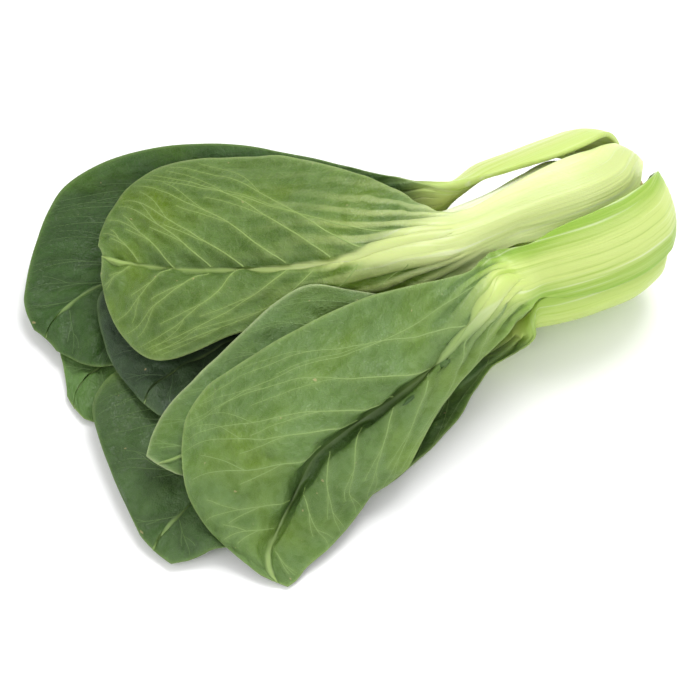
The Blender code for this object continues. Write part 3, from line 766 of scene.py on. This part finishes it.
# How far the margin's waves and ruffles and the fan's ridges lift the blade
def waveOf(order, along, across, beyond, grown, fromEdge, streak):
    height, length, band = leafLook["ripple"]
    wave = noiseAt(along[:, None] / length, np.sign(across) * 3, order + 40)
    wave = wave * np.exp(-fromEdge / band) * grown * height
    height, length, wide, band, reach = leafLook["ruffle"]
    wave = wave + noiseAt(beyond / length, across / wide, order + 60) \
        * np.exp(-fromEdge / band) * np.exp(-(beyond / reach) ** 2) * grown * height
    return wave + streak * fanLook["rise"] * smoothStep(*fanLook["riseStart"], beyond)


def foldOf(name, along, across, beyond):
    depth, half = leafLook["fold"].get(name, (0.0, 1.0))
    fold = depth * np.exp(-(across / half) ** 2) * smoothStep(*leafLook["foldStart"], beyond)
    return fold * smoothStep(*leafLook["foldEnd"], along[-1] - along)[:, None]


def drawLeaf(leaf, order):
    name = leaf["name"]
    times = leafLook["finer"].get(name, leafLook["finerElse"])
    sheet = finer(leaf["sheet"], times)
    out = finer(leaf["out"][:, :, None], times)[:, :, 0]
    into = finer(leaf["into"][:, :, None], times)[:, :, 0]
    count = len(leaf["grown"])
    at = np.linspace(0, count - 1, (count - 1) * times + 1)
    grown, ribHalf, paleHalf = (np.interp(at, range(count), leaf[word])[:, None]
                                for word in ("grown", "ribHalf", "paleHalf"))
    # the corners of the foot are rounded off
    share, reach = leafLook["footRound"]
    along, _ = chartOf(sheet)
    spine = sheet[:, sheet.shape[1] // 2][:, None]
    narrowed = share + (1 - share) * np.sqrt(np.clip(along / reach, 0, 1))
    sheet = spine + (sheet - spine) * narrowed[:, None, None]

    along, across = chartOf(sheet)
    beyond = (along - leaf["neck"])[:, None]
    width = np.maximum(np.where(across > 0, across[:, -1:], -across[:, :1]), 0.5)
    fromEdge = np.minimum(width - np.abs(across), (along[-1] - along)[:, None])
    blade = grown * smoothStep(*leafLook["greenEdge"], np.abs(across) / paleHalf)
    random = np.random.default_rng(veinLook["seed"] + order)
    paths = onBlade(veinPaths(leaf, along, across, random), blade, along, across)
    distance, girth = veinReach(paths, along, across)
    streak = fanOf(leaf, across, beyond, order)
    blade = np.maximum(blade * (1 - fanLook["pale"] * streak), 0)
    fold = foldOf(name, along, across, beyond)
    raised = waveOf(order, along, across, beyond, grown, fromEdge, streak) - fold \
        - quiltOf(order, along, across, distance, blade, fromEdge)
    sheet = sheet + normalsOf(sheet) * raised[:, :, None]

    share, low, high = leafLook["sinking"]
    flat = head["lamina"] / 2
    out = np.where(out > flat, flat + (out - flat) * (1 - share * smoothStep(low, high, beyond)),
                   out)
    thinned, over = leafLook["marginThin"]
    thinEdge = 1 - thinned * np.exp(-(fromEdge / over) ** 2) * grown
    out, into = out * thinEdge, into * thinEdge
    height, ribs, length, rise, level = leafLook["stalkRibs"]
    turn = across / np.maximum(ribHalf, 1) * ribs
    ribbed = 0.5 + 0.5 * noiseAt(turn, along[:, None] / length, order + 7)
    ribbed = ribbed * (1 - blade) * smoothStep(0, rise, along)[:, None]
    out = out + height * (ribbed - level)

    outer, inner = leafPoints(sheet, out, into, grown[:, 0], 1)
    points = np.concatenate([outer.reshape(-1, 3), inner.reshape(-1, 3)])

    # a value for each point of the outer face, then for each of the inner
    def both(first, second=None):
        return np.concatenate([np.broadcast_to(part, out.shape).ravel()
                               for part in (first, first if second is None else second)])

    wide, wider, least, margin = veinLook["paint"]
    close = np.exp(-(distance / (wide + wider * girth)) ** 2)
    offMargin = smoothStep(0, margin, fromEdge)
    values = {
        "green": both(blade),
        "vein": both(close * (least + girth) * offMargin),
        # paler margin rim, partly painted highlight
        "rim": both(np.exp(-fromEdge / leafLook["rim"]) * grown),
        "inside": both(0.0, 1.0),
        "along": both(along[:, None] * mm),
        "across": both(across * mm),
        "crest": both(np.clip(1 - np.abs(across) / width, 0, 1)),
        # painted shade in the grooves round the veins
        "groove": both(np.exp(-(distance / veinLook["groove"]) ** 2) * offMargin),
        # painted shade along the crease of the fold
        "crease": both(fold / leafLook["fold"]["leaf_front"][0]),
        "faded": both(smoothStep(*leaf.get("fading", leafLook["fading"]), beyond),
                      smoothStep(*leafLook["fadingInside"], beyond)),
    }
    fine = newObject(name + "_fine", insideBox((points + shift) * mm), [],
                     leafFaces(*out.shape), values)
    return dict(object=fine, outer=outer, inner=inner, along=along, across=across, paths=paths)


# sRGB hex to a linear colour
def colour(text):
    parts = [int(text[i:i + 2], 16) / 255 for i in (0, 2, 4)]
    return tuple(c / 12.92 if c <= 0.04045 else ((c + 0.055) / 1.055) ** 2.4
                 for c in parts) + (1.0,)


# Kinds of node that the materials use often, by short names: type, settings, the
# sockets that take its values in turn, and its output. "step" rises smoothly from 0 at
# its second value to 1 at its third. "tint" takes a colour, then hue, saturation, value.
often = {
    "multiply": ("ShaderNodeMath", {"operation": "MULTIPLY"}, (0, 1), 0),
    "multiplyAdd": ("ShaderNodeMath", {"operation": "MULTIPLY_ADD"}, (0, 1, 2), 0),
    "add": ("ShaderNodeMath", {"operation": "ADD"}, (0, 1), 0),
    "addClamped": ("ShaderNodeMath", {"operation": "ADD", "use_clamp": True}, (0, 1), 0),
    "subtract": ("ShaderNodeMath", {"operation": "SUBTRACT"}, (0, 1), 0),
    "mix": ("ShaderNodeMix", {"data_type": "RGBA"}, (0, 6, 7), 2),
    "step": ("ShaderNodeMapRange", {"interpolation_type": "SMOOTHSTEP"}, (0, 1, 2), 0),
    "tint": ("ShaderNodeHueSaturation", {}, (4, 0, 1, 2), 0),
}


# Adds a node with its settings, values and links, and gives its output
def addNode(tree, kind, *values, settings=None, out=0, **named):
    kind, usual, places, out = often.get(kind, (kind, {}, range(len(values)), out))
    node = tree.nodes.new(kind)
    for name, value in {**usual, **(settings or {})}.items():
        setattr(node, name, value)
    for place, value in [*zip(places, values), *named.items()]:
        if isinstance(value, bpy.types.NodeSocket):
            tree.links.new(value, node.inputs[place])
        else:
            node.inputs[place].default_value = value
    return node.outputs[out]


# A material, its tree and its shader, whose plain values are set
def newMaterial(name, plain):
    material = bpy.data.materials.new(name)
    material.use_nodes = True
    shader = material.node_tree.nodes["Principled BSDF"]
    for socket, value in plain.items():
        shader.inputs[socket].default_value = value
    return material, material.node_tree, shader


# Fresh leaf of Brassica: a waxy skin, so soft gloss, over watery green tissue that
# lets some light through. The back of the blade is paler and duller than its face.
# The stalk crest and edge tones carry painted light and shade, lighter on the side each stalk is
# lit from; the margin tone is partly painted highlight; inner_leaf_back's dark inner tone is
# partly painted shade where it lies under other leaves.
leafTones = {
    # outer face of the blade, inner face, veins, stalk crest, stalk edge, margin
    "leaf_top": ("5D7A38", "4A6A34", "A6BE6C", "C0CD84", "DCE8A4", "A3BA74"),
    "leaf_front": ("668446", "4A6A34", "97B068", "C2D37A", "8CB03C", "9DB56E"),
    "leaf_back": ("5F7C3F", "395824", "6A8750", "C6D27C", "BDD272", "7C9654"),
    "leaf_under_middle": ("5F7C3F", "486434", "6F8C50", "CDDC84", "9FC04C", "7C9654"),
    "leaf_under_back": ("5F7C3F", "5C7E3F", "6C8750", "CDDC84", "9FC04C", "93AC62"),
    "leaf_under_front": ("5F7C3F", "4A6A34", "8CA45E", "BBCF70", "9FC04C", "93AC62"),
    "inner_leaf_top_front": ("5E7C42", "4A6A34", "84A05C", "D6DF8C", "BDD272", "C4D49E"),
    "inner_leaf_top_back": ("66823F", "4A6A34", "9DB568", "F1F5D4", "E2EBB4", "93AC62"),
    "inner_leaf_back": ("5F7C3F", "384E32", "5A7349", "E0E79A", "BDD272", "6A8252"),
    "inner_leaf_front": ("5F7C3F", "54744A", "6F8C50", "E0E79A", "BDD272", "7C9654"),
    "heart": ("8CAA50", "7D9C44", "B4C880", "ECF0C4", "CBDA84", "A6BC72"),
}


# How the skin is painted. Sizes are in mm. A noise is its size, detail, roughness and
# how many times longer it is along the leaf. A range is where it starts and is full.
skinLook = {
    "plain": {"IOR": 1.42, "Subsurface Weight": 0.12, "Subsurface Radius": (0.6, 1.0, 0.25),
              "Subsurface Scale": 2.5 * mm},
    "cloud": (26.0, 3.0, 0.55, 1.0),
    "cloudRange": (0.35, 0.65),
    "yellowing": (38.0, 2.0, 0.55, 1.0),
    "yellowingRange": (0.48, 0.68),
    "dimples": (5.0, 2.0, 0.55, 1.0),
    "dimplesRange": (0.56, 0.40),
    "scars": (2.8, 1.0, 0.5, 1.0),
    "scarsRange": (0.755, 0.80),
    "scarTone": "B7A878",
    "speck": (1.6, 2.0, 0.55, 1.0),
    # netted small veins: the cell, its line's share of it, how strongly it is painted
    "nets": [(2.3, 0.09, 0.08), (0.8, 0.12, 0.06)],
    # length and depth of a net's bends against its cell
    "netBend": (1.5, 0.7),
    # painted shade in the grooves that veins lie in, and the veins themselves, on the inner face
    "grooveShadeRange": (0.1, 0.9),
    "veinShare": (-0.45, 0.62),
    # fibres and vessels along the stalk, and broader bands that vary the painted highlight and
    # where the green starts
    "fibre": (0.9, 3.0, 0.6, 60.0),
    "fibreRange": (0.45, 0.75),
    "band": (3.2, 2.0, 0.5, 40.0),
    "bandLit": 0.9,
    "bandEdge": 0.35,
    # where the painted highlight along the stalk's crest starts and is full
    "crestHighlightRange": (0.05, 0.75),
    "vessels": (1.9, 2.0, 0.5, 45.0),
    "whiteRange": (0.56, 0.72),
    "greenerRange": (0.46, 0.28),
    "greenFrom": (0.0, 0.12),
    # how strongly each is painted
    "painted": {"yellower": 0.7, "groove": 0.55, "scar": 0.6, "fibre": 0.35, "white": 0.60,
                "greener": 0.55, "line": 0.6, "faded": 0.9, "crease": 0.75, "rim": 0.6},
    # tints of a tone: hue, saturation, value
    "darker": (0.5, 1.05, 0.80),
    "yellower": (0.478, 1.2, 1.12),
    # the painted shade of the blade's dimples
    "dimpleShade": (0.5, 1.08, 0.86),
    # the painted shade in the grooves round veins
    "groove": (0.5, 1.0, 0.62),
    "white": (0.5, 0.55, 1.12),
    "greener": (0.5, 1.25, 0.84),
    # the painted shade in a fold's crease
    "creaseShadeTint": (0.5, 1.15, 0.45),
    # roughness of the stalk, what the blade adds to it, and the specks
    "rough": (0.34, 0.04, 0.10),
    # relief: puckers of two sizes, and the heights of nets, specks, puckers and fibres
    "pucker": (6.5, 2.0, 0.55, 1.0),
    "puckerFine": (2.6, 3.0, 0.55, 1.0),
    "puckerShare": 1.6,
    "heights": (0.5, 0.4, 4.0, 1.4),
    "bump": {"Strength": 0.8, "Distance": 0.22 * mm},
}


def leafMaterial(name):
    tones = [colour(tone) for tone in leafTones.get(name, leafTones["heart"])]
    outerTone, innerTone, veinTone, crestTone, edgeTone, marginTone = tones
    look, painted = skinLook, skinLook["painted"]
    material, tree, shader = newMaterial("waxyLeaf_" + name, look["plain"])
    add = partial(addNode, tree)
    green, vein, rim, inside, crest, groove, crease, faded, along, across = (
        add("ShaderNodeAttribute", settings={"attribute_name": word}, out="Fac")
        for word in ("green", "vein", "rim", "inside", "crest", "groove", "crease", "faded",
                     "along", "across"))
    place = add("ShaderNodeCombineXYZ", along, across, inside)

    def noise(word):
        size, detail, rough, stretch = look[word]
        at = add("ShaderNodeMapping", place,
                 Scale=(1 / (size * stretch * mm), 1 / (size * mm), 1.0))
        return add("ShaderNodeTexNoise", Vector=at, Scale=1.0, Detail=detail, Roughness=rough)

    def net(size, wide):
        length, depth = look["netBend"]
        bent = add("ShaderNodeTexNoise", Vector=place, Scale=1 / (size * length * mm),
                   Detail=1.0, out="Color")
        bent = add("ShaderNodeVectorMath", bent, (size * mm * depth,) * 3, place,
                   settings={"operation": "MULTIPLY_ADD"})
        cells = add("ShaderNodeTexVoronoi", Vector=bent, Scale=1 / (size * mm), out="Distance",
                    settings={"feature": "DISTANCE_TO_EDGE", "voronoi_dimensions": "2D"})
        return add("step", cells, wide, 0.0)

    # paint laid over the skin, as strongly as given where the mask is full
    def over(skin, mask, strength, paint):
        return add("mix", add("multiply", mask, strength), skin, paint)

    blade = add("mix", inside, outerTone, innerTone)
    darker = add("tint", blade, *look["darker"])
    yellower = add("tint", blade, *look["yellower"])
    blade = add("mix", add("step", noise("cloud"), *look["cloudRange"]), darker, blade)
    blade = over(blade, add("step", noise("yellowing"), *look["yellowingRange"]),
                 painted["yellower"], yellower)
    # darker patches at random: painted shade of shallow dimples in the blade
    dimpleShade = add("tint", blade, *look["dimpleShade"])
    blade = add("mix", add("step", noise("dimples"), *look["dimplesRange"]), blade, dimpleShade)
    nets = []
    for size, wide, strength in look["nets"]:
        nets.append(net(size, wide))
        blade = over(blade, nets[-1], strength, veinTone)
    # painted shade in the grooves round the veins on the inner face
    grooveShadeMask = add("multiply", add("step", groove, *look["grooveShadeRange"]), inside)
    blade = over(blade, grooveShadeMask, painted["groove"], add("tint", innerTone, *look["groove"]))
    blade = over(blade, vein, add("multiplyAdd", inside, *look["veinShare"]), veinTone)
    blade = over(blade, add("step", noise("scars"), *look["scarsRange"]), painted["scar"],
                 colour(look["scarTone"]))

    # the stalk: a painted highlight along its crest, varied by broad bands, with fibres, whitish
    # lines over its vessels and greener tissue between them
    fibre, vessels = noise("fibre"), noise("vessels")
    band = add("subtract", noise("band"), 0.5)
    lit = add("addClamped", add("step", crest, *look["crestHighlightRange"]),
              add("multiply", band, look["bandLit"]))
    stalk = add("mix", lit, edgeTone, crestTone)
    for word, line, paint in (("fibre", fibre, crestTone),
                              ("white", vessels, add("tint", crestTone, *look["white"])),
                              ("greener", vessels, add("tint", edgeTone, *look["greener"]))):
        stalk = over(stalk, add("step", line, *look[word + "Range"]), painted[word], paint)
    # further out the midrib is a thin line between the veins' tone and the blade's
    stalk = over(stalk, faded, painted["faded"],
                 add("mix", painted["line"], outerTone, veinTone))

    share = add("addClamped", green, add("multiply", band, look["bandEdge"]))
    share = add("multiply", share, add("step", green, *look["greenFrom"]))
    skin = add("mix", share, stalk, blade)
    # painted shade along the fold's crease, darker in the fold
    skin = over(skin, crease, painted["crease"], add("tint", innerTone, *look["creaseShadeTint"]))
    # a paler rim along the margin: partly the paler underside at a curled edge, partly painted
    # highlight where the edge catches the light
    skin = over(skin, rim, painted["rim"], marginTone)
    tree.links.new(skin, shader.inputs["Base Color"])

    speck = noise("speck")
    base, more, speckled = look["rough"]
    rough = add("add", add("multiplyAdd", green, more, base), add("multiply", speck, speckled))
    tree.links.new(rough, shader.inputs["Roughness"])

    # small veins stand up on the outer face and sink on the inner one
    netHigh, speckHigh, puckerHigh, fibreHigh = look["heights"]
    relief = add("multiply", green, add("multiplyAdd", nets[0], netHigh,
                                        add("multiply", nets[1], netHigh)))
    relief = add("multiply", relief, add("multiplyAdd", inside, -2.0, 1.0))
    puckered = add("multiply", green, add("multiplyAdd", noise("pucker"), look["puckerShare"],
                                          noise("puckerFine")))
    fibrous = add("multiply", add("subtract", 1.0, green), add("multiply", fibre, fibreHigh))
    grain = add("add", relief, add("multiply", speck, speckHigh))
    grain = add("add", grain, add("multiply", puckered, puckerHigh))
    grain = add("add", grain, fibrous)
    tree.links.new(add("ShaderNodeBump", Height=grain, **look["bump"]),
                   shader.inputs["Normal"])
    return material


# Veins as raised ribs on both faces, swept by Geometry Nodes along their paths
def veinTree():
    tree = bpy.data.node_groups.new("veinRibs", "GeometryNodeTree")
    tree.interface.new_socket("Geometry", in_out="INPUT", socket_type="NodeSocketGeometry")
    for name, kind, value in (("Sides", "NodeSocketInt", veinLook["sides"]),
                              ("Girth Scale", "NodeSocketFloat", 1.0),
                              ("Skin", "NodeSocketMaterial", None)):
        socket = tree.interface.new_socket(name, in_out="INPUT", socket_type=kind)
        if value is not None:
            socket.default_value = value
    tree.interface.new_socket("Geometry", in_out="OUTPUT", socket_type="NodeSocketGeometry")
    given = tree.nodes.new("NodeGroupInput").outputs
    add = partial(addNode, tree)
    lines = add("GeometryNodeMeshToCurve", Mesh=given["Geometry"])
    girth = add("GeometryNodeInputNamedAttribute", Name="girth", settings={"data_type": "FLOAT"})
    scaled = add("multiply", girth, given["Girth Scale"])
    ring = add("GeometryNodeCurvePrimitiveCircle", Resolution=given["Sides"], Radius=1.0)
    swept = add("GeometryNodeCurveToMesh", lines, ring, Scale=scaled, **{"Fill Caps": True})
    smooth = add("GeometryNodeSetShadeSmooth", swept)
    real = add("GeometryNodeRealizeInstances", smooth)
    skinned = add("GeometryNodeSetMaterial", real, Material=given["Skin"])
    tree.links.new(skinned, tree.nodes.new("NodeGroupOutput").inputs[0])
    return tree


def drawVeins(leaf, made, tree, material, face):
    along, across, skin = made["along"], made["across"], made[face]
    normal = normalsOf(skin, 1) * (1 if face == "outer" else -1)
    word = leaf["name"] + ("_veins" if face == "outer" else "_veinsInside")
    rows = len(along)
    points, edges, girths = [], [], []
    for path in made["paths"]:
        first = len(points)
        for a, w, girth in path:
            r = np.interp(a, along, range(rows))
            low = min(int(r), rows - 2)
            part = r - low
            found = []
            for i in (low, low + 1):
                c = np.interp(w, across[i], range(across.shape[1]))
                left = min(int(c), across.shape[1] - 2)
                t = c - left
                found.append(np.concatenate([
                    skin[i, left] * (1 - t) + skin[i, left + 1] * t,
                    normal[i, left] * (1 - t) + normal[i, left + 1] * t]))
            here = found[0] * (1 - part) + found[1] * part
            points.append(here[:3] - here[3:] * girth * veinLook["sink"][face] + shift)
            girths.append(girth * mm)
        edges += [(i, i + 1) for i in range(first, len(points) - 1)]
    lines = newObject(leaf["name"] + "_lines", np.array(points) * mm, edges, [],
                      {"girth": girths})
    ribs = lines.modifiers.new("ribs", "NODES")
    ribs.node_group = tree
    given = {"Skin": material, "Girth Scale": veinLook["scale"][face]}
    for item in tree.interface.items_tree:
        if item.in_out == "INPUT" and item.name in given:
            ribs[item.identifier] = given[item.name]
    swept = bpy.data.meshes.new_from_object(
        lines.evaluated_get(bpy.context.evaluated_depsgraph_get()))
    placed = np.array([vertex.co for vertex in swept.vertices])
    swept.vertices.foreach_set("co", insideBox(placed).ravel())
    lines.modifiers.remove(ribs)
    bpy.data.objects.remove(lines)
    swept.name = word
    result = bpy.data.objects.new(word, swept)
    bpy.context.scene.collection.objects.link(result)
    return result


def veinMaterial(name, face):
    tones = leafTones.get(name, leafTones["heart"])
    blade, vein = (np.array(colour(tones[k])) for k in (0 if face == "outer" else 1, 2))
    return newMaterial("waxyVein_" + name + "_" + face, {
        "Base Color": (blade + vein) / 2, "Roughness": 0.42, "IOR": 1.42})[0]


# The layout's own middle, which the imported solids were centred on
shift = np.zeros(3)
drawn = {leaf["name"]: {**leaf, **leafSheet(leaf)} for leaf in leaves}
drawIn([drawn[name] for name in outermostFirst])
layDown(list(drawn.values()))
corners = np.concatenate([leaf["sheet"].reshape(-1, 3) for leaf in drawn.values()])
middle = (corners.min(axis=0) + corners.max(axis=0)) / 2
shift = np.array((-middle[0], -middle[1], 0.0))
print("leaves laid out")

ribTree = veinTree()
for order, (name, leaf) in enumerate(drawn.items()):
    made = drawLeaf(leaf, order)
    fine = made["object"]
    fine.data.materials.append(leafMaterial(name))
    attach(fine, "root")
    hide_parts(name)
    if made["paths"] and leaf["whorl"] != "heart":
        for face in ("outer", "inner"):
            veins = drawVeins(leaf, made, ribTree, veinMaterial(name, face), face)
            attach(veins, "root")
    print("drawn", name, len(fine.data.polygons), "faces")

# The butt's cut core: a watery disc with its ring of vessels and a dried rim
coreLook = {
    # radius and depth along the axis, in mm
    "profile": [(0.0, 0.25), (3.0, 0.2), (6.0, 0.1), (8.6, 0.1), (9.5, 0.4), (9.9, 1.1),
                (9.9, 6.3), (9.1, 7.2), (8.7, 12.0)],
    "turns": 96,
    "steps": 4,
    "rough": 0.12,
    # ring of vessels: its radius, and how far from it the vessels are full and gone
    "ring": (5.2, 0.2, 1.1),
    "ringBroken": (0.40, 0.60),
    # radius where the rim starts to dry and is dry, and how strongly that is painted
    "driedFrom": (8.6, 10.2),
    "driedShare": 0.8,
    "grain": 1.4 * mm,
    "bump": {"Strength": 0.5, "Distance": 0.2 * mm},
    "plain": {"Roughness": 0.55, "IOR": 1.38},
    "flesh": "D9DDA8",
    "vessels": "B9C06E",
    "dried": "A98F55",
}


def drawCore():
    profile = np.array(coreLook["profile"])
    knots = np.arange(len(profile))
    at = np.linspace(0, len(profile) - 1, (len(profile) - 1) * coreLook["steps"] + 1)
    line = np.column_stack([np.interp(at, knots, profile[:, k]) for k in (0, 1)])
    foot, tangent = axisAt(0.0)
    level = unit(np.cross(tangent, (0, 0, 1)))
    upright = np.cross(level, tangent)
    points = []
    count = coreLook["turns"]
    for radius, depth in line:
        for k in range(count):
            turn = 2 * math.pi * k / count
            x, y = radius * math.cos(turn), radius * math.sin(turn)
            sunk = depth + coreLook["rough"] * (1 + float(noiseAt(np.array(x), np.array(y), 5)))
            points.append(foot + shift + tangent * sunk + level * x + upright * y)
    faces = [(i * count + k, i * count + (k + 1) % count,
              (i + 1) * count + (k + 1) % count, (i + 1) * count + k)
             for i in range(len(line) - 1) for k in range(count)]
    return newObject("butt_core_fine", insideBox(np.array(points) * mm), [], faces,
                     {"radius": np.repeat(line[:, 0], count)})


def coreMaterial():
    look = coreLook
    material, tree, shader = newMaterial("cutFlesh", look["plain"])
    add = partial(addNode, tree)
    radius = add("ShaderNodeAttribute", settings={"attribute_name": "radius"}, out="Fac")
    place = add("ShaderNodeTexCoord", out="Object")
    grain = add("ShaderNodeTexNoise", Vector=place, Scale=1 / look["grain"], Detail=4.0)
    middle, solid, gone = look["ring"]
    away = add("ShaderNodeMath", add("subtract", radius, middle),
               settings={"operation": "ABSOLUTE"})
    ring = add("subtract", 1.0, add("step", away, solid, gone))
    ring = add("multiply", ring, add("step", grain, *look["ringBroken"]))
    flesh = add("mix", ring, colour(look["flesh"]), colour(look["vessels"]))
    dried = add("multiply", add("step", add("add", radius, grain), *look["driedFrom"]),
                look["driedShare"])
    flesh = add("mix", dried, flesh, colour(look["dried"]))
    tree.links.new(flesh, shader.inputs["Base Color"])
    tree.links.new(add("ShaderNodeBump", Height=grain, **look["bump"]),
                   shader.inputs["Normal"])
    return material


core = drawCore()
core.data.materials.append(coreMaterial())
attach(core, "root")
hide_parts("butt_core")
print("core drawn")

# Floor, lights and camera. Lengths of the camera are in mm, the rest in metres.
studio = {
    "azimuth": -38, "elevation": 50, "distance": 800.0, "pixelsPerMm": 2.8,
    "floor": "FFFFFF", "floorHalf": 3.0, "floorRough": 0.9, "world": 0.62,
    # name, place, size and power of each light, all aimed at the origin
    "lights": [("key", (0.34, 0.14, 0.75), 0.5, 5.0), ("fill", (-0.7, -0.25, 0.6), 0.7, 3.0),
               ("low", (0.35, -0.75, 0.4), 0.5, 1.6)],
}


def makeStudio():
    world = bpy.data.worlds.new("paleStudio")
    bpy.context.scene.world = world
    world.use_nodes = True
    background = world.node_tree.nodes["Background"]
    background.inputs[0].default_value = (1.0, 1.0, 1.0, 1.0)
    background.inputs[1].default_value = studio["world"]
    half = studio["floorHalf"]
    floor = newObject("floor", [(-half, -half, 0), (half, -half, 0), (half, half, 0),
                                (-half, half, 0)], [], [(0, 1, 2, 3)], {})
    floor.data.materials.append(newMaterial("matteFloor", {
        "Base Color": colour(studio["floor"]), "Roughness": studio["floorRough"]})[0])
    for name, place, size, power in studio["lights"]:
        light = bpy.data.lights.new(name, "AREA")
        light.size = size
        light.energy = power
        lamp = bpy.data.objects.new(name, light)
        lamp.location = place
        lamp.rotation_euler = (-Vector(place)).to_track_quat("-Z", "Y").to_euler()
        bpy.context.scene.collection.objects.link(lamp)


def makeCamera():
    a, e = math.radians(studio["azimuth"]), math.radians(studio["elevation"])
    back = Vector((math.sin(a) * math.cos(e), -math.cos(a) * math.cos(e), math.sin(e)))
    lens = bpy.data.cameras.new("camera")
    lens.sensor_width = 36.0
    lens.lens = 36.0 * studio["pixelsPerMm"] * studio["distance"] / 700.0
    camera = bpy.data.objects.new("camera", lens)
    camera.location = Vector(shift) * mm + back * studio["distance"] * mm
    camera.rotation_mode = "QUATERNION"
    camera.rotation_quaternion = back.to_track_quat("Z", "Y")
    bpy.context.scene.collection.objects.link(camera)
    bpy.context.scene.camera = camera


makeStudio()
makeCamera()
bpy.context.scene.view_settings.view_transform = "Standard"
print("studio set")
